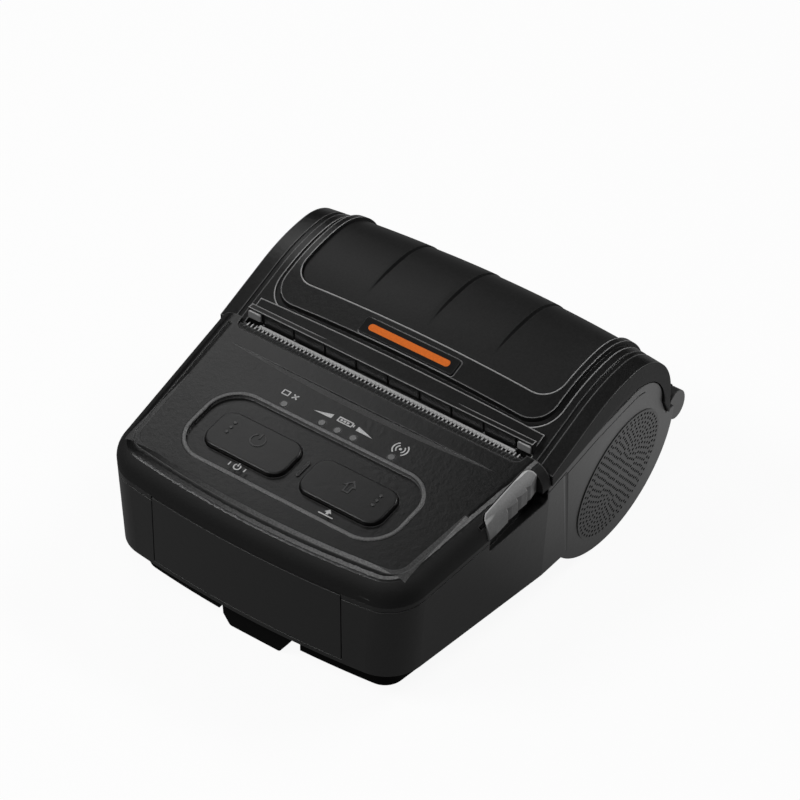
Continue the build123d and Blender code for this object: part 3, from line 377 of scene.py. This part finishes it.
def rubber(name, shade, roughness, grain=0.0004):
    """Dense moulded rubber with a dusty, uneven sheen."""
    finish = Finish(name, Specular_IOR_Level=0.25)
    fine = finish.noise(grain, detail=3.0)
    dust = finish.noise(0.006, detail=4.0, roughness=0.7)
    finish.feed("Base Color", finish.blend(((dust - 0.42) * 2.5).clamped(), colour(shade),
                                           colour(shade * 1.5)))
    finish.feed("Roughness", (dust - 0.5) * 0.15 + roughness)
    finish.relief((fine, 0.00001), round_edges=0.0002)
    return finish.material


def circuit_board(name):
    """Green lacquer with fine copper lines showing through it."""
    finish = Finish(name, Specular_IOR_Level=0.5)
    lines = finish.node("ShaderNodeTexBrick", {
        "Vector": finish.coordinates(), "Scale": 260.0, "Mortar Size": 0.03,
        "Color1": colour(0.0), "Color2": colour(0.0), "Mortar": colour(1.0)})
    cloud = finish.noise(0.005)
    finish.feed("Base Color", finish.blend(lines, colour(0.006, 0.055, 0.022),
                                           colour(0.012, 0.12, 0.045)))
    finish.feed("Roughness", (cloud - 0.5) * 0.2 + 0.34)
    finish.relief((lines, 0.00002))
    return finish.material


def printed(name, tint, wear=0.25):
    """Screen-printed ink, a little thin in places."""
    finish = Finish(name, Specular_IOR_Level=0.3)
    thin = finish.noise(0.0005, detail=3.0)
    faded = tuple(channel * (1.0 - wear) for channel in tint[:3]) + (1.0,)
    finish.feed("Base Color", finish.blend(((thin - 0.45) * 4.0).clamped(), faded, tint))
    finish.feed("Roughness", (thin - 0.5) * 0.2 + 0.5)
    finish.relief((thin, 0.000006))
    return finish.material


# glint sets the shade of each finish's painted edge highlight
SKINS = {
    "casing_black": moulded("casing_black", 0.002, 0.006, 0.00042, 0.000028, 0.32, 0.4, 0.0004,
                            glint=0.08),
    "side_black": moulded("side_black", 0.0035, 0.007, 0.0005, 0.000012, 0.42, 0.5, glint=0.09,
                          accents=side_accents),
    "window_black": moulded("window_black", 0.012, 0.018, 0.0006, 0.000006, 0.46, 0.25,
                            accents=window_accents),
    "button_black": moulded("button_black", 0.003, 0.007, 0.0005, 0.000014, 0.32, 0.4, glint=0.05),
    "badge_black": moulded("badge_black", 0.002, 0.004, 0.0004, 0.00001, 0.36, 0.3, glint=0.03),
    "lever_grey": moulded("lever_grey", 0.22, 0.27, 0.00045, 0.00002, 0.42, 0.4, glint=0.5,
                          accents=lever_accents),
    "frame_grey": moulded("frame_grey", 0.03, 0.055, 0.0007, 0.00002, 0.5, 0.35),
    "gear_white": moulded("gear_white", 0.52, 0.62, 0.0006, 0.000008, 0.36, 0.5, 0.00015),
    "head_ceramic": moulded("head_ceramic", 0.55, 0.7, 0.0005, 0.000004, 0.2, 0.5, 0.0001),
    "led_lens": moulded("led_lens", 0.07, 0.11, 0.0004, 0.000004, 0.2, 0.5, 0.0002),
    "steel": brushed("steel", 0.4, 0.34, (0.05, 1.0, 1.0)),
    "dark_steel": brushed("dark_steel", 0.09, 0.38, metallic=0.7),
    "aluminium": brushed("aluminium", 0.62, 0.36, (1.0, 1.0, 0.05)),
    "switch_metal": brushed("switch_metal", 0.55, 0.34),
    "motor_metal": brushed("motor_metal", 0.42, 0.36, (0.05, 1.0, 1.0)),
    "contact_gold": brushed("contact_gold", 0.6, 0.25),
    "rubber_black": rubber("rubber_black", 0.012, 0.62),
    "platen_rubber": rubber("platen_rubber", 0.018, 0.55, 0.0002),
    "board_green": circuit_board("board_green"),
}
WHITE_INK = printed("white_ink", colour(0.62))
ORANGE_INK = printed("orange_ink", colour(0.82, 0.17, 0.012), 0.12)
GRILLE_BLACK = moulded("grille_black", 0.038, 0.052, 0.0005, 0.00001, 0.5, 0.5, 0.0001)
TOP_BLACK = moulded("top_black", 0.002, 0.006, 0.00042, 0.000028, 0.32, 0.4, 0.0004, glint=0.08,
                    accents=top_accents)
LID_BLACK = moulded("lid_black", 0.005, 0.012, 0.00042, 0.000028, 0.34, 0.4, 0.0004, glint=0.5,
                    accents=lid_accents)
LIP_BLACK = moulded("lip_black", 0.008, 0.02, 0.00042, 0.00002, 0.36, 0.4, 0.0003, glint=0.05)
TOOTHED_STEEL = toothed("toothed_steel")
MATT_BLACK = moulded("matt_black", 0.0008, 0.002, 0.0005, 0.00001, 0.6, 0.08)
# painted shade for the grille holes
SHADE_SHEET_BLACK = rubber("shade_sheet_black", 0.002, 0.9)


def dress(piece, skin):
    """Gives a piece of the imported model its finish."""
    piece.data.materials.clear()
    piece.data.materials.append(skin)
    for face in piece.data.polygons:
        face.material_index = 0


def dress_frame():
    """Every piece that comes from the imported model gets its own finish."""
    for part in frame["record"]["subparts"]:
        dress(frame["nodes"][part["node"]], SKINS[part["material_slot"]])
    for name, skin in (("base_plate", MATT_BLACK), ("battery_latch", MATT_BLACK),
                       ("top_casing", TOP_BLACK), ("lid_shell", LID_BLACK),
                       ("fluted_strip", LIP_BLACK), ("tear_bar", TOOTHED_STEEL),
                       ("lever_pin", MATT_BLACK)):
        dress(frame["nodes"][name], skin)


def on_top(x, v, w=0.0):
    """A place given across and up the top face, w millimetres above it."""
    along = Vector((0.0, math.cos(SLOPE), math.sin(SLOPE)))
    out = Vector((0.0, -math.sin(SLOPE), math.cos(SLOPE)))
    return (SLOT + Vector((x, 0.0, 0.0)) + along * v + out * w) * MM


def finished(piece, name, body, skin):
    """Names a piece, gives it its finish and hangs it on its body."""
    piece.name = name
    piece.data.name = name
    piece.data.materials.clear()
    piece.data.materials.append(skin)
    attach(piece, body)
    piece.select_set(False)
    return piece


def on_lid(x, along, out):
    """A place on the lid's front slope, in millimetres across, up the slope and above it."""
    up_slope = Vector((0.0, math.cos(RISE), math.sin(RISE)))
    outward = Vector((0.0, -math.sin(RISE), math.cos(RISE)))
    return (LID_LINE + Vector((x, 0.0, 0.0)) + up_slope * along + outward * out) * MM


def arc_band(middle, radius, width, start=0.0, end=360.0):
    """The outlines of a ring, or of a part of one, drawn in millimetres."""
    def points(distance, angles):
        return [(middle[0] + distance * math.cos(math.radians(angle)),
                 middle[1] + distance * math.sin(math.radians(angle))) for angle in angles]
    angles = [start + (end - start) * n / ARC_STEPS for n in range(ARC_STEPS + 1)]
    if end - start >= 360.0:
        return [points(radius + width / 2, angles[:-1]), points(radius - width / 2, angles[:-1])]
    return [points(radius + width / 2, angles) + points(radius - width / 2, angles[::-1])]


def disc(middle, radius, steps=16):
    """The outline of a round dot."""
    return [(middle[0] + radius * math.cos(2.0 * math.pi * n / steps),
             middle[1] + radius * math.sin(2.0 * math.pi * n / steps)) for n in range(steps)]


def stroke(first, last, width):
    """The outline of a straight stroke between two places."""
    start, end = Vector(first), Vector(last)
    side = (end - start).normalized()
    side = Vector((-side.y, side.x)) * width / 2
    return [tuple(start + side), tuple(end + side), tuple(end - side), tuple(start - side)]


def rounded_box(middle, width, height, corner):
    """The outline of a box with rounded corners."""
    outline = []
    for turn, (x, y) in enumerate(((1, 1), (-1, 1), (-1, -1), (1, -1))):
        centre = (middle[0] + x * (width / 2 - corner), middle[1] + y * (height / 2 - corner))
        for n in range(CORNER_STEPS + 1):
            angle = math.radians(90.0 * (turn + n / CORNER_STEPS))
            outline.append((centre[0] + corner * math.cos(angle),
                            centre[1] + corner * math.sin(angle)))
    return outline


def cut_plate(loops, thickness, matrix, soft=0.0):
    """A plate cut to closed outlines in millimetres, its underside on the plane of the matrix."""
    curve = bpy.data.curves.new("plate", "CURVE")
    curve.dimensions = "2D"
    curve.fill_mode = "BOTH"
    curve.extrude = (thickness / 2 - soft) * MM
    curve.bevel_depth = soft * MM
    curve.bevel_resolution = 2
    for loop in loops:
        spline = curve.splines.new("POLY")
        spline.points.add(len(loop) - 1)
        for point, (x, y) in zip(spline.points, loop):
            point.co = (x * MM, y * MM, 0.0, 1.0)
        spline.use_cyclic_u = True
    piece = bpy.data.objects.new("plate", curve)
    bpy.context.collection.objects.link(piece)
    bpy.context.view_layer.objects.active = piece
    piece.select_set(True)
    bpy.ops.object.convert(target="MESH")
    piece.data.transform(matrix @ Matrix.Translation((0.0, 0.0, thickness / 2 * MM)))
    if matrix.determinant() < 0.0:
        piece.data.flip_normals()
    return piece


def place_on_top(x, v, w=0.0):
    """The matrix of a place on the top face."""
    return Matrix.Translation(on_top(x, v, w)) @ Matrix.Rotation(SLOPE, 4, "X")


def print_signs():
    """White signs by the lights and under the keys, in place of words."""
    signs = {
        "paper_sign": (-17.3, SIGN_LINE, [rounded_box((-1.5, 0.0), 2.2, 1.7, 0.2),
                                      rounded_box((-1.5, 0.0), 1.6, 1.1, 0.1),
                                      stroke((0.7, -0.7), (2.1, 0.7), 0.38),
                                      stroke((0.7, 0.7), (1.16, 0.24), 0.38),
                                      stroke((1.64, -0.24), (2.1, -0.7), 0.38)]),
        "charge_sign": (0.0, SIGN_LINE, [rounded_box((0.0, 0.0), 4.6, 1.7, 0.25),
                                     rounded_box((0.0, 0.0), 3.9, 1.0, 0.1),
                                     rounded_box((2.65, 0.0), 0.4, 0.8, 0.1),
                                     rounded_box((-1.2, 0.0), 0.7, 0.6, 0.05),
                                     rounded_box((-0.2, 0.0), 0.7, 0.6, 0.05),
                                     rounded_box((0.8, 0.0), 0.7, 0.6, 0.05)]),
        "wireless_sign": (17.2, SIGN_LINE, [disc((0.0, 0.0), 0.4)]
                          + arc_band((0.0, 0.0), 1.2, 0.36, -55.0, 55.0)
                          + arc_band((0.0, 0.0), 2.1, 0.36, -55.0, 55.0)
                          + arc_band((0.0, 0.0), 1.2, 0.36, 125.0, 235.0)
                          + arc_band((0.0, 0.0), 2.1, 0.36, 125.0, 235.0)),
        "power_sign": (-13.5, KEY_SIGN_LINE, arc_band((0.0, 0.0), 0.9, 0.34, 125.0, 415.0)
                       + [stroke((0.0, 0.2), (0.0, 1.3), 0.34)]
                       + [stroke((x, -0.6), (x, 0.6), 0.34) for x in (-2.4, 2.4)]),
        "feed_sign": (14.9, KEY_SIGN_LINE, [stroke((-2.2, -0.9), (2.2, -0.9), 0.34),
                                    [(0.0, 1.2), (-1.0, 0.1), (-0.35, 0.1), (-0.35, -0.5),
                                     (0.35, -0.5), (0.35, 0.1), (1.0, 0.1)]]),
        "rising_wedge": (0.0, 0.0, [[(-9.2, -16.2), (-3.9, -16.15), (-3.9, -14.7)]]),
        "falling_wedge": (0.0, 0.0, [[(9.2, -16.2), (3.9, -14.7), (3.9, -16.15)]]),
    }
    for name, (x, v, loops) in signs.items():
        sign = cut_plate(loops, INK, place_on_top(x, v))
        finished(sign, name, "casing", WHITE_INK)
    # painted shade: a thin dark ring round each status light stands in for the shadow in its recess
    for number, x in enumerate(LIGHT_PLACES):
        ring = cut_plate(arc_band((0.0, 0.0), 0.87, 0.34), INK, place_on_top(x, LIGHT_LINE, 0.03))
        finished(ring, f"light_shadow_ring_{number}", "casing", SKINS["window_black"])


def mould_key_signs():
    """Raised signs on the two keys and a raised bar between them."""
    power = arc_band((0.0, 0.0), 2.0, 0.42, 120.0, 420.0) + [stroke((0.0, 0.4), (0.0, 2.5), 0.42)]
    arrow = [[(0.0, 2.4), (-2.0, 0.1), (-1.0, 0.1), (-1.0, -2.0), (1.0, -2.0), (1.0, 0.1),
              (2.0, 0.1)],
             [(0.0, 1.7), (-1.05, 0.5), (-0.58, 0.5), (-0.58, -1.58), (0.58, -1.58),
              (0.58, 0.5), (1.05, 0.5)]]
    for name, body, x, v, loops in (("power_relief", "power_key", -14.4, -32.3, power),
                                    ("feed_relief", "feed_key", 14.5, -32.5, arrow)):
        relief = cut_plate(loops, 0.16, place_on_top(x, v, KEY_TOP - 0.02))
        finished(relief, name, body, SKINS["button_black"])
    for name, body, x in (("power_dots", "power_key", -22.9), ("feed_dots", "feed_key", 22.9)):
        loops = [disc((0.0, v), 0.45) for v in (1.75, 0.0, -1.75)]
        dots = cut_plate(loops, 0.22, place_on_top(x, -32.4, KEY_TOP - 0.02), 0.08)
        finished(dots, name, body, SKINS["button_black"])
    bar = cut_plate([rounded_box((0.0, 0.0), 0.7, 5.2, 0.34)], 0.4,
                    place_on_top(0.4, -33.1, -DISH_DEPTH - 0.02), 0.15)
    finished(bar, "dish_bar", "casing", SKINS["casing_black"])


def fit_slot_ends():
    """The pale end stops of the paper slot, on the lid's front wall."""
    turn = Matrix(((1.0, 0.0, 0.0), (0.0, 0.0, -1.0), (0.0, 1.0, 0.0))).to_4x4()
    for x, name in ((-42.6, "slot_end_left"), (42.6, "slot_end_right")):
        place = Matrix.Translation(Vector((x, LID_WALL + 0.1, 46.0)) * MM)
        stop = cut_plate([rounded_box((0.0, 0.0), 3.8, 1.9, 0.3)], 0.6, place @ turn, 0.12)
        finished(stop, name, "lid", SKINS["lever_grey"])


def fit_accent():
    """The coloured bar along the badge."""
    slope = Matrix.Translation(on_lid(0.0, 9.1, 0.5)) @ Matrix.Rotation(RISE, 4, "X")
    bar = cut_plate([rounded_box((0.0, 0.0), 25.4, 2.0, 0.9)], INK, slope)
    finished(bar, "badge_accent", "lid", ORANGE_INK)


def window_line(reach):
    """Where the window's outer face is, reach up from its front edge, and its normal there."""
    outward = Vector((-math.sin(RISE), math.cos(RISE)))
    upward = Vector((math.cos(RISE), math.sin(RISE)))
    foot = Vector((LID_LINE.y, LID_LINE.z)) - outward * WINDOW_DROP
    front = WINDOW_FRONT - WINDOW_DROP * math.tan(RISE)
    knee = foot + upward * SLOPE_RUN
    middle = knee - outward * BOW
    rest = reach - (SLOPE_RUN - front)
    if rest < 0.0:
        return foot + upward * (front + reach), outward
    if rest < BOW * RISE:
        turn = RISE - rest / BOW
        outward = Vector((-math.sin(turn), math.cos(turn)))
        return middle + outward * BOW, outward
    rest -= BOW * RISE
    middle += Vector((0.0, BOW - REAR_ROUND))
    turn = min(rest / REAR_ROUND, math.pi / 2)
    outward = Vector((math.sin(turn), math.cos(turn)))
    return middle + outward * REAR_ROUND - Vector((0.0, rest - turn * REAR_ROUND)), outward


def ease(value, start, end):
    """0 before start, 1 after end and a soft rise between them."""
    share = min(max((value - start) / (end - start), 0.0), 1.0)
    return share * share * (3.0 - 2.0 * share)


def crease_depth(x, reach, length):
    """How far the window's face is stepped down at the right of its creases."""
    depth = CREASE_DEPTH * ease(reach, *CREASE_DEEPENS)
    depth *= 1.0 - CREASE_LOSS * ease(reach, *CREASE_THINS)
    depth *= 1.0 - ease(reach, *(length - before for before in CREASE_FADES))
    return depth * max(ease(x - crease, *CREASE_STEP)
                       * min(max(1.0 - (x - crease) / PANEL_RISE, 0.0), 1.0) for crease in CREASES)


def window_length():
    """Length of the window's outer face from its front edge to its rear edge."""
    slope = SLOPE_RUN - WINDOW_FRONT + WINDOW_DROP * math.tan(RISE)
    return slope + BOW * RISE + REAR_ROUND * math.pi / 2 + REAR_LEG


def window_rows():
    """Places up the window, closer together along its round front corners."""
    corner = WINDOW_CORNER + 0.5
    length = window_length()
    return ([corner * (1.0 - math.cos(math.radians(9.0 * n))) for n in range(11)]
            + [corner + (length - corner) * n / 48 for n in range(1, 49)])


def window_columns(reach):
    """Places across the window in one row, closer together at its creases and its rims."""
    flat = WINDOW_HALF - WINDOW_CORNER
    columns = {flat * n / 18 for n in range(-18, 19)}
    for crease in CREASES:
        columns.update(crease + step for step in CREASE_COLUMNS)
    inward = max(WINDOW_CORNER - (window_line(reach)[0].x - window_line(0.0)[0].x), 0.0)
    rim = math.sqrt(WINDOW_CORNER ** 2 - inward ** 2)
    left = [-flat - rim * n / 6 for n in range(6, 0, -1)]
    return left + sorted(columns) + [-x for x in reversed(left)]


def window_point(x, reach, sheet):
    """A place on the window's creased outer face, or on its plain inner face, sheet below."""
    sag = x * x / (2.0 * CROWN)
    upright_front = math.tan(RISE) * sag * max(1.0 - reach / WINDOW_CORNER, 0.0)
    point, outward = window_line(reach - upright_front)
    point = point - outward * (sag + (sheet or crease_depth(x, reach, window_length())))
    return Vector((x, point.x, point.y)) * MM


def mould_window():
    """The lid's dark window: a crowned sheet with three creases that fade out at their ends."""
    sheet = bmesh.new()
    outer, inner = ([[sheet.verts.new(window_point(x, reach, depth))
                      for x in window_columns(reach)] for reach in window_rows()]
                    for depth in (0.0, WINDOW_SHEET))
    strips = list(zip(outer, outer[1:])) + list(zip(inner[1:], inner))
    strips += [(inner[0], outer[0]), (outer[-1], inner[-1])]
    strips += [([line[0] for line in outer], [line[0] for line in inner]),
               ([line[-1] for line in inner], [line[-1] for line in outer])]
    for low, high in strips:
        for n in range(len(low) - 1):
            sheet.faces.new((low[n], low[n + 1], high[n + 1], high[n]))
    bmesh.ops.remove_doubles(sheet, verts=sheet.verts, dist=0.00001)
    bmesh.ops.recalc_face_normals(sheet, faces=sheet.faces)
    mesh = bpy.data.meshes.new("window")
    sheet.to_mesh(mesh)
    sheet.free()
    window = bpy.data.objects.new("window", mesh)
    bpy.context.collection.objects.link(window)
    bpy.context.view_layer.objects.active = window
    window.select_set(True)
    bpy.ops.object.shade_smooth_by_angle(angle=math.radians(40.0))
    finished(window, "window_sheet", "lid", SKINS["window_black"])
    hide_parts("lid_window")


def ring_places(ring):
    """Middles of the holes of one ring, spread from its two flat sides to its two ends."""
    long, short = (half - RING_STEP * ring for half in GRILLE_RING)
    quarter = [Vector((long * math.sin(angle), short * math.cos(angle)))
               for angle in (math.radians(n) for n in range(91))]
    reach = [0.0]
    for before, after in zip(quarter, quarter[1:]):
        reach.append(reach[-1] + (after - before).length)
    count = round(reach[-1] / HOLE_STEP)
    places = set()
    for n in range(count + 1):
        wanted = reach[-1] * n / count
        place = quarter[min(range(91), key=lambda number: abs(reach[number] - wanted))]
        places.update((round(place.x * side, 3), round(place.y * end, 3))
                      for side in (-1.0, 1.0) for end in (-1.0, 1.0))
    return sorted(places)


def on_grille(place):
    """A place along and across the grille, turned to its place on the side."""
    return tuple(GRILLE_MIDDLE + Matrix.Rotation(GRILLE_TURN, 2) @ Vector(place))


def side_plane(side, out):
    """The matrix of a side wall: along the printer, up the wall and outwards."""
    foot = Vector((side * (HALF_WIDTH - SIDE_LEAN * SLOT.z), 0.0, 0.0))
    along = Vector((0.0, 1.0, 0.0))
    upward = Vector((side * SIDE_LEAN, 0.0, 1.0))
    outward = Vector((side, 0.0, -SIDE_LEAN)).normalized()
    turn = Matrix((along, upward, outward)).transposed().to_4x4()
    return Matrix.Translation((foot + outward * out) * MM) @ turn


def fit_grilles():
    """The perforated skins of both sides, with a near-black sheet behind their holes as painted
    shade.
    """
    outline = [on_grille(((GRILLE_RING[0] + GRILLE_EDGE) * math.cos(angle),
                          (GRILLE_RING[1] + GRILLE_EDGE) * math.sin(angle)))
               for angle in (math.radians(3.0 * n) for n in range(120))]
    rings = range(int(GRILLE_RING[1] / RING_STEP) + 1)
    holes = [disc(on_grille(place), HOLE_RADIUS, 12) for ring in rings
             for place in ring_places(ring)]
    for side, name in ((1.0, "side_grille_right"), (-1.0, "side_grille_left")):
        # painted shade: the near-black sheet shows through the holes in place of the shade inside
        # them
        shade_sheet = cut_plate([outline], SHADE_SHEET, side_plane(side, 0.0))
        finished(shade_sheet, name + "_felt", "casing", SHADE_SHEET_BLACK)
        skin = cut_plate([outline] + holes, GRILLE_SKIN, side_plane(side, SHADE_SHEET))
        finished(skin, name + "_skin", "casing", GRILLE_BLACK)


def set_camera():
    """The photograph's view: from the front right, well above, through a long lens."""
    azimuth, elevation, roll = (math.radians(angle) for angle in VIEW_ANGLES)
    back = Vector((math.sin(azimuth) * math.cos(elevation),
                   -math.cos(azimuth) * math.cos(elevation), math.sin(elevation)))
    level = Vector((math.cos(azimuth), math.sin(azimuth), 0.0))
    upright = back.cross(level)
    right = level * math.cos(roll) + upright * math.sin(roll)
    up = upright * math.cos(roll) - level * math.sin(roll)
    turn = Matrix((right, up, back)).transposed().to_4x4()
    bpy.ops.object.camera_add()
    camera = bpy.context.object
    camera.name = "photograph_view"
    camera.matrix_world = Matrix.Translation(VIEW_PLACE) @ turn
    camera.data.lens = VIEW_LENS
    camera.data.sensor_width = 36.0
    camera.data.clip_end = 50.0
    bpy.context.scene.camera = camera


class Surround(Finish):
    """The world's nodes, written like those of a finish."""

    def __init__(self, name):
        self.world = bpy.data.worlds.new(name)
        self.world.use_nodes = True
        self.tree = self.world.node_tree
        self.shader = self.tree.nodes["Background"]


def kinds_of_ray(finish):
    """1 for what the camera sees, straight on or through glass, and 1 for what a gloss shows."""
    camera, glass, gloss = (finish.node("ShaderNodeLightPath", output=ray)
                            for ray in ("Is Camera Ray", "Is Transmission Ray", "Is Glossy Ray"))
    return camera.largest(glass), gloss


def lay_floor():
    """A wide white floor that keeps the printer's soft shadow."""
    bpy.ops.mesh.primitive_plane_add(size=12.0)
    floor = bpy.context.object
    floor.name = "studio_floor"
    finish = Finish("studio_floor", Roughness=0.8, Specular_IOR_Level=0.1)
    mottle = finish.noise(0.4)
    straight, gloss = kinds_of_ray(finish)
    pale = finish.blend(mottle, colour(0.93), colour(0.97))
    grey = finish.blend(mottle, colour(0.10), colour(0.12))
    finish.feed("Base Color", finish.blend(straight, grey, pale))
    glow = finish.node("ShaderNodeEmission", {"Color": colour(1.0), "Strength": 1.0})
    across, back, _ = place_of(finish)
    # painted light: in a gloss the floor glows brighter to the right of and behind the printer, a
    # painted pool of light
    corner = ((across - 0.03) * 30.0).clamped() * ((back + 0.01) * 15.0).clamped()
    painted_light_pool = corner * 0.8 + 0.18
    share = (straight * 0.93).largest(gloss * painted_light_pool)
    plain = Signal(finish, finish.shader.outputs[0])
    mixed = finish.node("ShaderNodeMixShader", {0: share, 1: plain, 2: glow})
    output = finish.tree.nodes["Material Output"]
    finish.tree.links.new(mixed.socket, output.inputs["Surface"])
    floor.data.materials.append(finish.material)


def softbox(name, place, width, height, power):
    """A rectangular lamp that shines at the printer."""
    bpy.ops.object.light_add(type="AREA", location=place)
    lamp = bpy.context.object
    lamp.name = name
    lamp.data.shape = "RECTANGLE"
    lamp.data.size = width
    lamp.data.size_y = height
    lamp.data.energy = power
    lamp.rotation_euler = (LAMP_AIM - Vector(place)).to_track_quat("-Z", "Y").to_euler()


def light_studio():
    """White all round at the level of the floor and dimmer above in a gloss, with softboxes."""
    surround = Surround("studio")
    bpy.context.scene.world = surround.world
    across, back, height = (surround.node("ShaderNodeSeparateXYZ",
                                          [surround.node("ShaderNodeTexCoord")], output=axis)
                            for axis in (0, 1, 2))
    low = surround.node("ShaderNodeMapRange", {"Value": height, "From Min": 0.1, "From Max": 0.45,
                                               "To Min": 1.0, "To Max": 0.0})
    near = (across * 0.3 - back * 0.4 + 0.5).clamped()
    dimmer = low * near + 0.1
    straight, gloss = kinds_of_ray(surround)
    soft = (1.0 - straight.largest(gloss)) * FILL
    surround.feed("Strength", straight.largest(gloss * dimmer) + soft)
    for name, (place, width, height, power) in LAMPS.items():
        softbox(name, place, width, height, power)


dress_frame()
print_signs()
mould_key_signs()
fit_slot_ends()
mould_window()
fit_accent()
fit_grilles()
set_camera()
lay_floor()
light_studio()

bpy.context.scene.view_settings.view_transform = "Standard"
